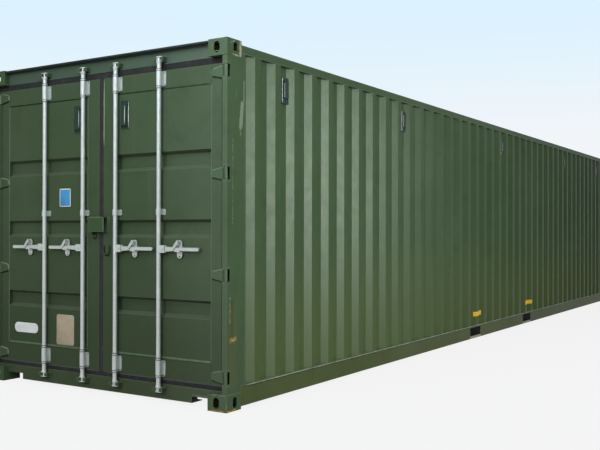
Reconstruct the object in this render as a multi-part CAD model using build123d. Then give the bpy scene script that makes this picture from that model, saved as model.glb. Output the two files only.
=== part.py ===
from build123d import *
import math
import os

# Forty foot general purpose container, closed, doors towards -Y.
# +X is to the right seen from the doors, +Z is up, and the origin is the
# middle of the footprint at the underside of the bottom corner castings.
LENGTH = 12192.0
WIDTH = 2438.0
HEIGHT = 2591.0

# Corner castings
CASTING_LENGTH = 178.0
CASTING_WIDTH = 162.0
CASTING_HEIGHT = 118.0
CASTING_PLATE = 28.0
CASTING_WALL = 14.0
CASTING_SLOT_LENGTH = 124.5
CASTING_SLOT_WIDTH = 63.5
CASTING_SIDE_SLOT_HEIGHT = 79.5
CASTING_SIDE_SLOT_WIDTH = 51.0
CASTING_SLOT_FROM_END = 101.5
CASTING_SLOT_FROM_SIDE = 89.0

# Corner posts at the door end: a folded hollow section with a narrow front leg
POST_INSET = 4.0
POST_DEPTH = 225.0
POST_SKIN = 6.0
POST_FRONT_LEG = 37.0
POST_SEAT_DEPTH = 111.0
POST_SEAT_WIDTH = 35.0

# Corner posts and cross rails at the closed end
FRONT_POST_DEPTH = 225.0
FRONT_RAIL_DEPTH = 60.0
FRONT_RAIL_WALL = 4.0

# Top side rails, square tube
TOP_RAIL_SIZE = 60.0
TOP_RAIL_WALL = 3.0
TOP_RAIL_INSET = 5.0
TOP_RAIL_DROP = 26.0

# Bottom side rails, pressed channel with a ledge for the wall
BOTTOM_RAIL_LOW = 16.0
BOTTOM_RAIL_TOP = 162.0
BOTTOM_RAIL_INSET = 11.0
BOTTOM_RAIL_SKIN = 4.5
BOTTOM_RAIL_FLANGE = 32.0
LEDGE_PROUD = 8.0
LEDGE_THICK = 5.0
LEDGE_WIDTH = 56.0

# Corrugated side walls
WALL_SKIN = 2.0
WALL_INSET = 6.0
CORRUGATION_DEPTH = 36.0
CREST_WIDTH = 74.0
SLOPE_WIDTH = 66.0
VALLEY_WIDTH = 72.0
WALL_LAP_LEAST = 40.0

# Corrugated closed end
END_WALL_INSET = 8.0
END_CORRUGATION_DEPTH = 45.0
END_CREST_WIDTH = 110.0
END_SLOPE_WIDTH = 20.0
END_VALLEY_WIDTH = 100.0
END_LAP_LEAST = 30.0

# Roof sheet with raised ribs across it
ROOF_SKIN = 3.0
ROOF_RIB_HEIGHT = 17.0
ROOF_RIB_PITCH = 209.0
ROOF_RIB_WIDTH = 118.0
ROOF_RIB_SLOPE = 14.0
ROOF_RIB_END_MARGIN = 75.0
ROOF_END_MARGIN = 60.0
ROOF_EDGE_INSET = 10.0

# Floor, cross members and fork pockets
FLOOR_THICK = 28.0
MEMBER_TOP = 145.0
MEMBER_HEIGHT = 111.0
MEMBER_FLANGE = 45.0
MEMBER_SKIN = 4.5
MEMBER_PITCH = 392.0
POCKET_OFFSET = 1025.0
POCKET_WIDTH = 360.0
POCKET_FLOOR = 45.0
POCKET_SKIN = 5.0
POCKET_STRAP_LENGTH = 200.0
POCKET_FRAME_MARGIN = 60.0
POCKET_LOW = 20.5

# Side vents, in chosen valleys of the side walls
VENTS_FROM_END = (814.0, 3038.0)
VENT_WIDTH = 98.0
VENT_PROUD = 15.0
VENT_DROP = 277.0
VENT_HEIGHT = 200.0
VENT_RIM = 4.0
VENT_FOOT_CLEAR = 1.0
VENT_HOOD_PROUD = 12.0
VENT_HOOD_MARGIN = 16.0
VENT_HOOD_FOOT = 30.0
VENT_HOOD_TOP_MARGIN = 12.0
VENT_HOOD_TOP_SLOPE = 18.0

# Door header and sill
FACE_DEPTH = 52.0
HEADER_TOP_DROP = 6.0
HEADER_HEIGHT = 113.0
HEADER_SKIN = 4.0
HEADER_LIP_DEPTH = 6.0
HEADER_LIP_THICK = 7.0
SILL_LOW = 25.0
SILL_TOP = 136.0
SILL_SKIN = 5.0
SILL_NOTCH_WIDTH = 177.0
SILL_NOTCH_TOP = 72.0

# Door leaves
LEAF_THICK = 50.0
LEAF_SILL_GAP = 37.0
LEAF_HEADER_GAP = 46.0
LEAF_EDGE_GAP = 6.0
LEAF_CENTRE_HALF_GAP = 22.0
HINGE_STILE_WIDTH = 122.0
LOCK_STILE_WIDTH = 123.0
LEAF_FOOT_HEIGHT = 157.0
LEAF_HEAD_HEIGHT = 136.0
PANEL_SKIN = 4.0
RECESS_CENTRES = (693.0, 1271.0, 1768.0)
RECESS_OPENING = 131.0
RECESS_SLOPE = 22.0
RECESS_DEPTH = 36.0

# Door gaskets
GASKET_DEPTH = 6.0
GASKET_THICK = 42.0
GASKET_CLEAR = 1.0
GASKET_SILL_CLEAR = 3.0
GASKET_CENTRE_HALF_GAP = 2.0
FLAP_THICK = 3.0
FLAP_REACH = 20.0
FLAP_DEPTH = 1.5

# Hinges
HINGE_COUNT = 4
LOWEST_HINGE_RISE = 62.0
HIGHEST_HINGE_DROP = 61.0
HINGE_PIN_INSET = 19.0
HINGE_PIN_DEPTH = 14.0
HINGE_PIN_RADIUS = 8.0
HINGE_CLEARANCE = 0.06
KNUCKLE_RADIUS = 13.0
KNUCKLE_HALF_HEIGHT = 40.0
HINGE_END_PLAY = 4.0
HINGE_LUG_THICK = 14.0
HINGE_POCKET_DEPTH = 44.0
BLADE_THICK = 10.0
BLADE_REACH = 143.0
BLADE_TIP_HALF_HEIGHT = 21.0
BLADE_BEND = 46.0

# Lock rods
ROD_OFFSETS = (170.0, 596.0)
ROD_DEPTH = 22.0
ROD_RADIUS = 17.0
ROD_COLLAR_RADIUS = 21.0
ROD_COLLAR_HEIGHT = 12.0
ROD_COLLAR_PLAY = 2.0
CAM_HEIGHT = 38.0
CAM_NECK_RADIUS = 11.0
CAM_LOBE_REACH = 25.0
CAM_LOBE_HALF_THICK = 8.0
CAM_FLANGE_THICK = 5.0
CAM_FLANGE_INNER = 26.0
CAM_FLANGE_OUTER = 33.0
CAM_FLANGE_WIDTH = 32.0
CAM_FLARE_HEIGHT = 22.0
CAM_FLARE_RADIUS = 21.0

# Keepers for the cams
KEEPER_WIDTH = 96.0
KEEPER_HEIGHT = 47.0
KEEPER_HEADER_RISE = 15.0
KEEPER_SILL_DROP = 66.0
KEEPER_BASE = 5.0
KEEPER_CHEEK = 8.0
KEEPER_LIP_DEPTH = 4.0
KEEPER_LIP_THICK = 6.0
KEEPER_LIP_HEIGHT = 24.0
KEEPER_LIP_GAP = 19.0
KEEPER_WINDOW_HALF = 29.0
KEEPER_BRIDGE = 6.0

# Rod bearings on the leaves
BEARING_RADIUS = 21.5
BEARING_CLEARANCE = 0.08
BEARING_PLATE_WIDTH = 88.0
BEARING_PLATE_THICK = 5.0
BEARING_PLATE_HEIGHT = 116.0
BEARING_PLATE_CORNER = 13.0
BEARING_SLEEVE_HEIGHT = 126.0
BEARING_TOP_SLEEVE_RISE = 9.0
BEARING_TOP_DROP = 62.0
BEARING_BOTTOM_RISE = 75.0
BEARING_MIDDLE_CENTRE = 1392.0
BEARING_MIDDLE_HEIGHT = 44.0
BEARING_NECK_HALF = 14.0

# Door handles
HANDLE_HEIGHT = 1121.0
HUB_REACH = 62.0
HUB_HALF_HEIGHT = 27.0
HUB_CHEEK = 5.0
HANDLE_THICK = 16.0
HANDLE_SIDE_PLAY = 1.0
HANDLE_PIVOT = 40.0
HANDLE_PIN_RADIUS = 6.0
HANDLE_PIN_CLEARANCE = 0.06
HANDLE_EYE_RADIUS = 14.0
HANDLE_LENGTH = 370.0
HANDLE_NECK_HALF = 19.0
HANDLE_GRIP_START = 152.0
HANDLE_GRIP_HALF = 12.5
PIN_HEAD_RADIUS = 10.0
PIN_HEAD_THICK = 5.0

# Handle retainers and catches
RETAINER_OFFSET = 182.0
RETAINER_DROP = 66.0
RETAINER_RISE = 65.0
RETAINER_WIDTH = 48.0
RETAINER_BACK_GAP = 6.0
RETAINER_PLATE = 5.0
RETAINER_HOLE_RADIUS = 6.0
RETAINER_LEG_WIDTH = 12.0
SHELF_THICK = 6.0
SHELF_GAP = 1.0
SHELF_LIP = 5.0
SHELF_LIP_RISE = 8.0
CATCH_PIVOT_RISE = 52.0
CATCH_THICK = 5.0
CATCH_HANDLE_GAP = 2.0
CATCH_EYE_RADIUS = 12.0
CATCH_END_RADIUS = 9.0
CATCH_REACH = 42.0
CATCH_DROP = 50.0
CATCH_PIN_RADIUS = 4.0
CATCH_BOSS_RADIUS = 6.0
CATCH_HEAD_RADIUS = 8.0
CATCH_HEAD_THICK = 4.0

# Door vents
DOOR_VENT_WIDTH = 78.0
DOOR_VENT_HEIGHT = 214.0
DOOR_VENT_DROP = 267.0
DOOR_VENT_PROUD = 18.0
DOOR_VENT_INNER_RIGHT = 202.0
DOOR_VENT_INNER_LEFT = 212.0
DOOR_VENT_RIM = 4.0
DOOR_VENT_SIDE_MARGIN = 10.0
DOOR_VENT_END_MARGIN = 14.0
DOOR_VENT_SLOPE = 12.0

# Lock box over the meeting edge, its staple and a tie ring
BOX_LEFT = -99.0
BOX_RIGHT = 64.0
BOX_LOW = 1245.0
BOX_HEIGHT = 115.0
BOX_FRONT_DEPTH = 4.0
BOX_SKIN = 4.0
BOX_CLEAR = 6.0
STAPLE_LEFT = -92.0
STAPLE_WIDTH = 44.0
STAPLE_DROP = 23.0
STAPLE_HEIGHT = 90.0
STAPLE_THICK = 8.0
STAPLE_PROUD = 30.0
STAPLE_BASE = 4.0
STAPLE_EYE_OFFSET = 12.0
STAPLE_EYE_LOW = 36.0
STAPLE_HOLE_RADIUS = 6.0
STAPLE_HOLE_INSET = 12.0
STAPLE_HOLE_DROP = 20.0
HOOK_RADIUS = 4.0
HOOK_BEND = 16.0
HOOK_DROP = 13.0
RING_CENTRE = 60.0
RING_HALF_WIDTH = 28.0
RING_LOW = 1066.0
RING_HEIGHT = 74.0
RING_WIRE = 6.0

# Values that follow from the dimensions above
HALF_LENGTH = LENGTH / 2
HALF_WIDTH = WIDTH / 2
CASTING_INNER_X = HALF_WIDTH - CASTING_WIDTH
CASTING_INNER_Y = HALF_LENGTH - CASTING_LENGTH
POST_OUTER_X = HALF_WIDTH - POST_INSET
POST_LEG_X = POST_OUTER_X - POST_FRONT_LEG
DOORWAY_HALF_WIDTH = POST_LEG_X - POST_SEAT_WIDTH
POST_END_Y = POST_INSET + POST_DEPTH
WALL_OUTER_X = HALF_WIDTH - WALL_INSET
WALL_LENGTH = LENGTH - 2 * POST_END_Y
CORRUGATION_PITCH = CREST_WIDTH + VALLEY_WIDTH + 2 * SLOPE_WIDTH
TOP_RAIL_TOP = HEIGHT - TOP_RAIL_DROP
TOP_RAIL_LOW = TOP_RAIL_TOP - TOP_RAIL_SIZE
TOP_RAIL_OUTER_X = HALF_WIDTH - TOP_RAIL_INSET
BOTTOM_RAIL_OUTER_X = HALF_WIDTH - BOTTOM_RAIL_INSET
LEDGE_OUTER_X = BOTTOM_RAIL_OUTER_X + LEDGE_PROUD
LEDGE_INNER_X = LEDGE_OUTER_X - LEDGE_WIDTH
MEMBER_LOW = MEMBER_TOP - MEMBER_HEIGHT
POCKET_FRAME_HALF = POCKET_WIDTH / 2 + POCKET_FRAME_MARGIN
MEMBER_HALF_LENGTH = BOTTOM_RAIL_OUTER_X - BOTTOM_RAIL_SKIN
HEADER_TOP = HEIGHT - HEADER_TOP_DROP
HEADER_BOTTOM = HEADER_TOP - HEADER_HEIGHT
LEAF_LOW = SILL_TOP + LEAF_SILL_GAP
LEAF_TOP = HEADER_BOTTOM - LEAF_HEADER_GAP
FRONT_RAIL_INNER_Y = HALF_LENGTH - POST_INSET - FRONT_RAIL_DEPTH
FRONT_POST_INNER_Y = HALF_LENGTH - POST_INSET - FRONT_POST_DEPTH
LEAF_OUTER_X = POST_LEG_X - LEAF_EDGE_GAP
LEAF_BACK_DEPTH = FACE_DEPTH + LEAF_THICK
PANEL_INNER_X = LEAF_CENTRE_HALF_GAP + LOCK_STILE_WIDTH
PANEL_OUTER_X = LEAF_OUTER_X - HINGE_STILE_WIDTH
PANEL_LOW = LEAF_LOW + LEAF_FOOT_HEIGHT
PANEL_TOP = LEAF_TOP - LEAF_HEAD_HEIGHT
HINGE_X = HALF_WIDTH - HINGE_PIN_INSET
HINGE_LOW = LEAF_LOW + LOWEST_HINGE_RISE
HINGE_STEP = (LEAF_TOP - HIGHEST_HINGE_DROP - HINGE_LOW) / (HINGE_COUNT - 1)
HINGE_HEIGHTS = [HINGE_LOW + number * HINGE_STEP for number in range(HINGE_COUNT)]
LUG_START = KNUCKLE_HALF_HEIGHT + HINGE_END_PLAY
LUG_END = LUG_START + HINGE_LUG_THICK
KEEPER_TOP_LOW = HEADER_BOTTOM + KEEPER_HEADER_RISE
KEEPER_BOTTOM_LOW = SILL_TOP - KEEPER_SILL_DROP
CAM_INSET = (KEEPER_HEIGHT - KEEPER_BRIDGE - CAM_HEIGHT) / 2
CAM_TOP_LOW = KEEPER_TOP_LOW + CAM_INSET
CAM_BOTTOM_LOW = KEEPER_BOTTOM_LOW + KEEPER_BRIDGE + CAM_INSET
BEARING_TOP_CENTRE = LEAF_TOP - BEARING_TOP_DROP
BEARING_BOTTOM_CENTRE = LEAF_LOW + BEARING_BOTTOM_RISE
TOP_SLEEVE_CENTRE = BEARING_TOP_CENTRE + BEARING_TOP_SLEEVE_RISE
HANDLE_FRONT_DEPTH = ROD_DEPTH - HANDLE_THICK / 2
HANDLE_BACK_DEPTH = ROD_DEPTH + HANDLE_THICK / 2
RETAINER_DEPTH = HANDLE_BACK_DEPTH + RETAINER_BACK_GAP
CATCH_BACK_DEPTH = HANDLE_FRONT_DEPTH - CATCH_HANDLE_GAP
CATCH_FRONT_DEPTH = CATCH_BACK_DEPTH - CATCH_THICK
RETAINER_LOW = HANDLE_HEIGHT - RETAINER_DROP
RETAINER_TOP = HANDLE_HEIGHT + RETAINER_RISE
CATCH_PIVOT_HEIGHT = HANDLE_HEIGHT + CATCH_PIVOT_RISE
DOOR_VENT_LOW = PANEL_TOP - DOOR_VENT_DROP
VENT_LOW = TOP_RAIL_LOW - VENT_DROP
BOX_TOP = BOX_LOW + BOX_HEIGHT
STAPLE_LOW = BOX_LOW - STAPLE_DROP
HOOK_BEND_HEIGHT = STAPLE_LOW - HOOK_DROP
RING_TOP = RING_LOW + RING_HEIGHT


def door_y(depth):
    """Y of a plane this far behind the faces of the door end castings."""
    return depth - HALF_LENGTH


def block(x0, x1, y0, y1, z0, z1):
    """Box between two corners."""
    size = Box(x1 - x0, y1 - y0, z1 - z0)
    return size.moved(Location(((x0 + x1) / 2, (y0 + y1) / 2, (z0 + z1) / 2)))


def cylinder_z(x, y, z0, z1, radius):
    rod = Cylinder(radius, z1 - z0)
    return rod.moved(Location((x, y, (z0 + z1) / 2)))


def cylinder_y(x, z, y0, y1, radius):
    rod = Cylinder(radius, y1 - y0).rotate(Axis.X, 90)
    return rod.moved(Location((x, (y0 + y1) / 2, z)))


def prism_x(points_yz, x0, x1):
    """Outline in Y and Z, drawn out along X."""
    face = make_face(Polyline([(x0, y, z) for y, z in points_yz], close=True))
    return extrude(face, amount=x1 - x0, dir=(1, 0, 0))


def prism_y(points_xz, y0, y1):
    """Outline in X and Z, drawn out along Y."""
    face = make_face(Polyline([(x, y0, z) for x, z in points_xz], close=True))
    return extrude(face, amount=y1 - y0, dir=(0, 1, 0))


def prism_z(points_xy, z0, z1):
    """Outline in X and Y, drawn out along Z."""
    face = make_face(Polyline([(x, y, z0) for x, y in points_xy], close=True))
    return extrude(face, amount=z1 - z0, dir=(0, 0, 1))


def slot_z(x, y, z0, z1, length, width):
    """Slot with round ends, long along Y, cut along Z."""
    outline = Pos(x, y, z0) * Rot(0, 0, 90) * SlotOverall(length, width)
    return extrude(outline, amount=z1 - z0, dir=(0, 0, 1))


def slot_y(x, z, y0, y1, height, width):
    """Slot with round ends, long along Z, cut along Y."""
    outline = Pos(x, y0, z) * Rot(90, 0, 0) * Rot(0, 0, 90) * SlotOverall(height, width)
    return extrude(outline, amount=y1 - y0, dir=(0, 1, 0))


def slot_x(y, z, x0, x1, height, width):
    """Slot with round ends, long along Z, cut along X."""
    outline = Pos(x0, y, z) * Rot(0, 90, 0) * SlotOverall(height, width)
    return extrude(outline, amount=x1 - x0, dir=(1, 0, 0))


def rounded_plate(x, z, y0, y1, width, height, corner):
    """Plate with round corners, standing in the X and Z plane."""
    outline = Pos(x, y0, z) * Rot(90, 0, 0) * RectangleRounded(width, height, corner)
    return extrude(outline, amount=y1 - y0, dir=(0, 1, 0))


def half_ring(x, y, z, bend, wire):
    """Lower half of a ring standing in the X and Z plane."""
    ring = Torus(bend, wire).rotate(Axis.X, 90).moved(Location((x, y, z)))
    reach = bend + 2 * wire
    return ring - block(x - reach, x + reach, y - reach, y + reach, z, z + reach)


def mirrored_x(shape):
    return mirror(shape, about=Plane.YZ)


def mirrored_y(shape):
    return mirror(shape, about=Plane.XZ)


def both_sides(shapes):
    return list(shapes) + [mirrored_x(shape) for shape in shapes]


def save(node, shapes):
    solids = []
    for shape in shapes:
        solids += shape.solids()
    whole = Compound(children=solids) if len(solids) > 1 else solids[0]
    whole.label = node
    export_step(whole, "parts/" + node + ".step")


# Corner castings

def bottom_casting():
    """Hollow cast block at the right of the door end, with three apertures."""
    y0 = -HALF_LENGTH
    slot_x0 = HALF_WIDTH - CASTING_SLOT_FROM_SIDE
    slot_y0 = y0 + CASTING_SLOT_FROM_END
    middle_z = CASTING_HEIGHT / 2
    body = block(CASTING_INNER_X, HALF_WIDTH, y0, y0 + CASTING_LENGTH, 0, CASTING_HEIGHT)
    body -= block(
        CASTING_INNER_X + CASTING_WALL, HALF_WIDTH - CASTING_WALL,
        y0 + CASTING_WALL, y0 + CASTING_LENGTH - CASTING_WALL,
        CASTING_PLATE, CASTING_HEIGHT - CASTING_WALL)
    body -= slot_z(slot_x0, slot_y0, -1, CASTING_PLATE + 1,
                   CASTING_SLOT_LENGTH, CASTING_SLOT_WIDTH)
    body -= slot_y(slot_x0, middle_z, y0 - 1, y0 + CASTING_WALL + 1,
                   CASTING_SIDE_SLOT_HEIGHT, CASTING_SIDE_SLOT_WIDTH)
    body -= slot_x(slot_y0, middle_z, HALF_WIDTH - CASTING_WALL - 1, HALF_WIDTH + 1,
                   CASTING_SIDE_SLOT_HEIGHT, CASTING_SIDE_SLOT_WIDTH)
    return body


def corner_castings():
    bottom = bottom_casting()
    top = mirror(bottom, about=Plane.XY.offset(HEIGHT / 2))
    door_end = [bottom, top]
    ends = door_end + [mirrored_y(casting) for casting in door_end]
    return both_sides(ends)


# Corner posts

def hinge_pocket_cut(height):
    """Corner of the door post cut away for a hinge."""
    return block(POST_LEG_X - 1, HALF_WIDTH, door_y(0), door_y(HINGE_POCKET_DEPTH),
                 height - LUG_END, height + LUG_END)


def door_post():
    """Hollow post with a seat for the door edge and pockets for the hinges."""
    front = door_y(POST_INSET)
    seat = door_y(POST_SEAT_DEPTH)
    back = door_y(POST_END_Y)
    skin = POST_SKIN
    outer = [(POST_OUTER_X, back), (POST_OUTER_X, front), (POST_LEG_X, front),
             (POST_LEG_X, seat), (DOORWAY_HALF_WIDTH, seat), (DOORWAY_HALF_WIDTH, back)]
    inner = [(POST_OUTER_X - skin, back - skin), (POST_OUTER_X - skin, front + skin),
             (POST_LEG_X + skin, front + skin), (POST_LEG_X + skin, seat + skin),
             (DOORWAY_HALF_WIDTH + skin, seat + skin),
             (DOORWAY_HALF_WIDTH + skin, back - skin)]
    low = CASTING_HEIGHT
    top = TOP_RAIL_LOW
    post = prism_z(outer, low, top) - prism_z(inner, low, top)
    post -= block(DOORWAY_HALF_WIDTH - 1, HALF_WIDTH, -CASTING_INNER_Y, back + 1,
                  low - 1, BOTTOM_RAIL_TOP)
    post -= block(DOORWAY_HALF_WIDTH - 1, HALF_WIDTH, front - 1, -CASTING_INNER_Y,
                  HEIGHT - CASTING_HEIGHT, top + 1)
    for height in HINGE_HEIGHTS:
        post -= hinge_pocket_cut(height)
    return post


def front_post():
    """Plain hollow post at the closed end."""
    outer_y = HALF_LENGTH - POST_INSET
    inner_y = FRONT_POST_INNER_Y
    skin = POST_SKIN
    low = CASTING_HEIGHT
    top = TOP_RAIL_LOW
    post = block(CASTING_INNER_X, POST_OUTER_X, inner_y, outer_y, low, top)
    post -= block(CASTING_INNER_X + skin, POST_OUTER_X - skin,
                  inner_y + skin, outer_y - skin, low - 1, top + 1)
    post -= block(CASTING_INNER_X - 1, HALF_WIDTH, inner_y - 1, CASTING_INNER_Y,
                  low - 1, BOTTOM_RAIL_TOP)
    post -= block(CASTING_INNER_X - 1, HALF_WIDTH, CASTING_INNER_Y, outer_y + 1,
                  HEIGHT - CASTING_HEIGHT, top + 1)
    return post


def hinge_pins():
    """Pin between two lugs, filling the post's corner at each hinge."""
    hinges = []
    for height in HINGE_HEIGHTS:
        pin = cylinder_z(HINGE_X, door_y(HINGE_PIN_DEPTH),
                         height - LUG_START, height + LUG_START, HINGE_PIN_RADIUS)
        for low, top in ((height - LUG_END, height - LUG_START),
                         (height + LUG_START, height + LUG_END)):
            pin += block(POST_LEG_X, POST_OUTER_X, door_y(POST_INSET),
                         door_y(HINGE_POCKET_DEPTH), low, top)
        hinges.append(pin)
    return both_sides(hinges)


# Header and sill

def door_header():
    """Box beam over the doors, with a drip lip reaching forward along its top."""
    front = door_y(FACE_DEPTH)
    back = -CASTING_INNER_Y
    half = CASTING_INNER_X
    skin = HEADER_SKIN
    beam = block(-half, half, front, back, HEADER_BOTTOM, HEADER_TOP)
    beam -= block(-half - 1, half + 1, front + skin, back - skin,
                  HEADER_BOTTOM + skin, HEADER_TOP - skin)
    lip = block(-half, half, door_y(HEADER_LIP_DEPTH), front,
                HEADER_TOP - HEADER_LIP_THICK, HEADER_TOP)
    return beam + lip


def door_sill():
    """Channel under the doors, open to the inside, notched beside the castings."""
    front = door_y(FACE_DEPTH)
    back = -CASTING_INNER_Y
    half = CASTING_INNER_X
    skin = SILL_SKIN
    sill = block(-half, half, front, back, SILL_LOW, SILL_TOP)
    sill -= block(-half - 1, half + 1, front + skin, back + 1,
                  SILL_LOW + skin, SILL_TOP - skin)
    for side in (-1, 1):
        inner = side * (half - SILL_NOTCH_WIDTH)
        outer = side * (half + 1)
        sill -= block(min(inner, outer), max(inner, outer), front - 1, back + 1,
                      SILL_LOW - 1, SILL_NOTCH_TOP)
    shoulder = prism_z([(half - 1, front), (POST_LEG_X, front),
                        (POST_LEG_X, door_y(POST_SEAT_DEPTH)),
                        (DOORWAY_HALF_WIDTH, door_y(POST_SEAT_DEPTH)),
                        (DOORWAY_HALF_WIDTH, back), (half - 1, back)],
                       CASTING_HEIGHT, SILL_TOP)
    return sill + shoulder + mirrored_x(shoulder)


# Closed end

def front_cross_rails():
    """Hollow rails between the posts of the closed end, at the roof and the floor."""
    half = CASTING_INNER_X
    outer = HALF_LENGTH - POST_INSET
    inner = FRONT_RAIL_INNER_Y
    wall = FRONT_RAIL_WALL
    rails = []
    for low, top in ((SILL_LOW, BOTTOM_RAIL_TOP), (TOP_RAIL_LOW, HEADER_TOP)):
        rail = block(-half, half, inner, outer, low, top)
        rail -= block(-half - 1, half + 1, inner + wall, outer - wall,
                      low + wall, top - wall)
        rails.append(rail)
    return rails


def crest_count(length, pitch, valley, least_lap):
    """How many crests fit along a wall with a lap at each end."""
    return int((length + valley - 2 * least_lap) // pitch)


def end_lap(length, pitch, valley, least_lap):
    """Flat lap that is left at each end of a wall."""
    count = crest_count(length, pitch, valley, least_lap)
    return (length + valley - count * pitch) / 2


def corrugation(length, crest, slope, valley, depth, least_lap):
    """Points along a wall: distance and how far in, beginning and ending in a valley."""
    pitch = crest + valley + 2 * slope
    lap = end_lap(length, pitch, valley, least_lap)
    points = [(0.0, depth)]
    for number in range(crest_count(length, pitch, valley, least_lap)):
        start = lap + number * pitch
        points.append((start, depth))
        points.append((start + slope, 0.0))
        points.append((start + slope + crest, 0.0))
        points.append((start + 2 * slope + crest, depth))
    points.append((length, depth))
    return points


def front_wall():
    """Corrugated sheet of the closed end."""
    half = CASTING_INNER_X
    face = HALF_LENGTH - END_WALL_INSET
    points = corrugation(2 * half, END_CREST_WIDTH, END_SLOPE_WIDTH, END_VALLEY_WIDTH,
                         END_CORRUGATION_DEPTH, END_LAP_LEAST)
    outer = [(along - half, face - inwards) for along, inwards in points]
    inner = [(x, y - WALL_SKIN) for x, y in reversed(outer)]
    return prism_z(outer + inner, BOTTOM_RAIL_TOP, TOP_RAIL_LOW)


# Side walls, side rails and vents

def side_wall():
    points = corrugation(WALL_LENGTH, CREST_WIDTH, SLOPE_WIDTH, VALLEY_WIDTH,
                         CORRUGATION_DEPTH, WALL_LAP_LEAST)
    outer = [(WALL_OUTER_X - inwards, along - WALL_LENGTH / 2)
             for along, inwards in points]
    inner = [(x - WALL_SKIN, y) for x, y in reversed(outer)]
    return prism_z(outer + inner, BOTTOM_RAIL_TOP, TOP_RAIL_LOW)


def top_side_rail():
    outer = TOP_RAIL_OUTER_X
    inner = outer - TOP_RAIL_SIZE
    wall = TOP_RAIL_WALL
    end = CASTING_INNER_Y
    rail = block(inner, outer, -end, end, TOP_RAIL_LOW, TOP_RAIL_TOP)
    rail -= block(inner + wall, outer - wall, -end - 1, end + 1,
                  TOP_RAIL_LOW + wall, TOP_RAIL_TOP - wall)
    return rail


def rail_section(flange):
    """Section of the bottom side rail in X and Z, with or without its lower flange."""
    outer = BOTTOM_RAIL_OUTER_X
    web = outer - BOTTOM_RAIL_SKIN
    low = BOTTOM_RAIL_LOW
    ledge = BOTTOM_RAIL_TOP - LEDGE_THICK
    section = [(outer, low), (outer, ledge), (LEDGE_OUTER_X, ledge),
               (LEDGE_OUTER_X, BOTTOM_RAIL_TOP), (LEDGE_INNER_X, BOTTOM_RAIL_TOP),
               (LEDGE_INNER_X, ledge), (web, ledge)]
    if flange:
        toe = outer - BOTTOM_RAIL_FLANGE
        section += [(web, low + BOTTOM_RAIL_SKIN), (toe, low + BOTTOM_RAIL_SKIN),
                    (toe, low)]
    else:
        section.append((web, low))
    return section


def bottom_side_rail():
    """Channel with a ledge for the wall, in three lengths between the pocket plates."""
    end = CASTING_INNER_Y
    near = POCKET_OFFSET - POCKET_FRAME_HALF
    far = POCKET_OFFSET + POCKET_FRAME_HALF
    section = rail_section(True)
    return [prism_y(section, -end, -far), prism_y(section, -near, near),
            prism_y(section, far, end)]


def pocket_frame(centre):
    """Plate welded into the bottom side rail around the mouth of a fork pocket."""
    outer = BOTTOM_RAIL_OUTER_X
    plate = prism_y(rail_section(False), centre - POCKET_FRAME_HALF,
                    centre + POCKET_FRAME_HALF)
    return plate - block(outer - BOTTOM_RAIL_SKIN - 1, outer + 1,
                         centre - POCKET_WIDTH / 2, centre + POCKET_WIDTH / 2,
                         POCKET_FLOOR, MEMBER_TOP - POCKET_SKIN)


def nearest_valley(y):
    """Middle of the side wall valley nearest to a place along the wall."""
    lap = end_lap(WALL_LENGTH, CORRUGATION_PITCH, VALLEY_WIDTH, WALL_LAP_LEAST)
    first = lap + CORRUGATION_PITCH - (VALLEY_WIDTH + WALL_LENGTH) / 2
    return first + round((y - first) / CORRUGATION_PITCH) * CORRUGATION_PITCH


def side_vents():
    """Hooded plastic vents, each seated in a valley of the side wall."""
    floor_x = WALL_OUTER_X - CORRUGATION_DEPTH
    front_x = floor_x + VENT_PROUD
    rim_x = front_x - VENT_RIM
    hood_x = front_x + VENT_HOOD_PROUD
    top = VENT_LOW + VENT_HEIGHT
    foot = VALLEY_WIDTH / 2 - VENT_FOOT_CLEAR
    wide = VENT_WIDTH / 2
    hood_wide = wide - VENT_HOOD_MARGIN
    hood_low = VENT_LOW + VENT_HOOD_FOOT
    hood_top = top - VENT_HOOD_TOP_MARGIN
    places = [HALF_LENGTH - from_end for from_end in VENTS_FROM_END]
    vents = []
    for place in places + [0.0] + [-place for place in places]:
        centre = nearest_valley(place)
        base = prism_z([(floor_x, centre - foot), (rim_x, centre - wide),
                        (front_x, centre - wide), (front_x, centre + wide),
                        (rim_x, centre + wide), (floor_x, centre + foot)],
                       VENT_LOW, top)
        hood = prism_y([(rim_x, hood_low), (hood_x, hood_low + VENT_HOOD_PROUD),
                        (hood_x, hood_top - VENT_HOOD_TOP_SLOPE), (rim_x, hood_top)],
                       centre - hood_wide, centre + hood_wide)
        vents.append(base + hood)
    return both_sides(vents)


# Roof

def roof():
    """Flat sheet on the side rails with hollow ribs pressed up across it."""
    low = TOP_RAIL_TOP
    top = low + ROOF_SKIN
    half_x = TOP_RAIL_OUTER_X - ROOF_EDGE_INSET
    start = -CASTING_INNER_Y
    end = CASTING_INNER_Y
    sheet = block(-half_x, half_x, start, end, low, top)
    sheet += block(-CASTING_INNER_X, CASTING_INNER_X, end - 1, FRONT_RAIL_INNER_Y,
                   low, top)
    room = end - start - 2 * ROOF_END_MARGIN - ROOF_RIB_WIDTH
    count = int(room // ROOF_RIB_PITCH) + 1
    first = (start + end) / 2 - (count - 1) * ROOF_RIB_PITCH / 2
    ribs = []
    hollows = []
    for number in range(count):
        centre = first + number * ROOF_RIB_PITCH
        ribs.append(roof_rib(centre, top, top + ROOF_RIB_HEIGHT, 0.0))
        hollows.append(roof_rib(centre, low, top + ROOF_RIB_HEIGHT - ROOF_SKIN,
                                ROOF_SKIN))
    return sheet + ribs - hollows


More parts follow.
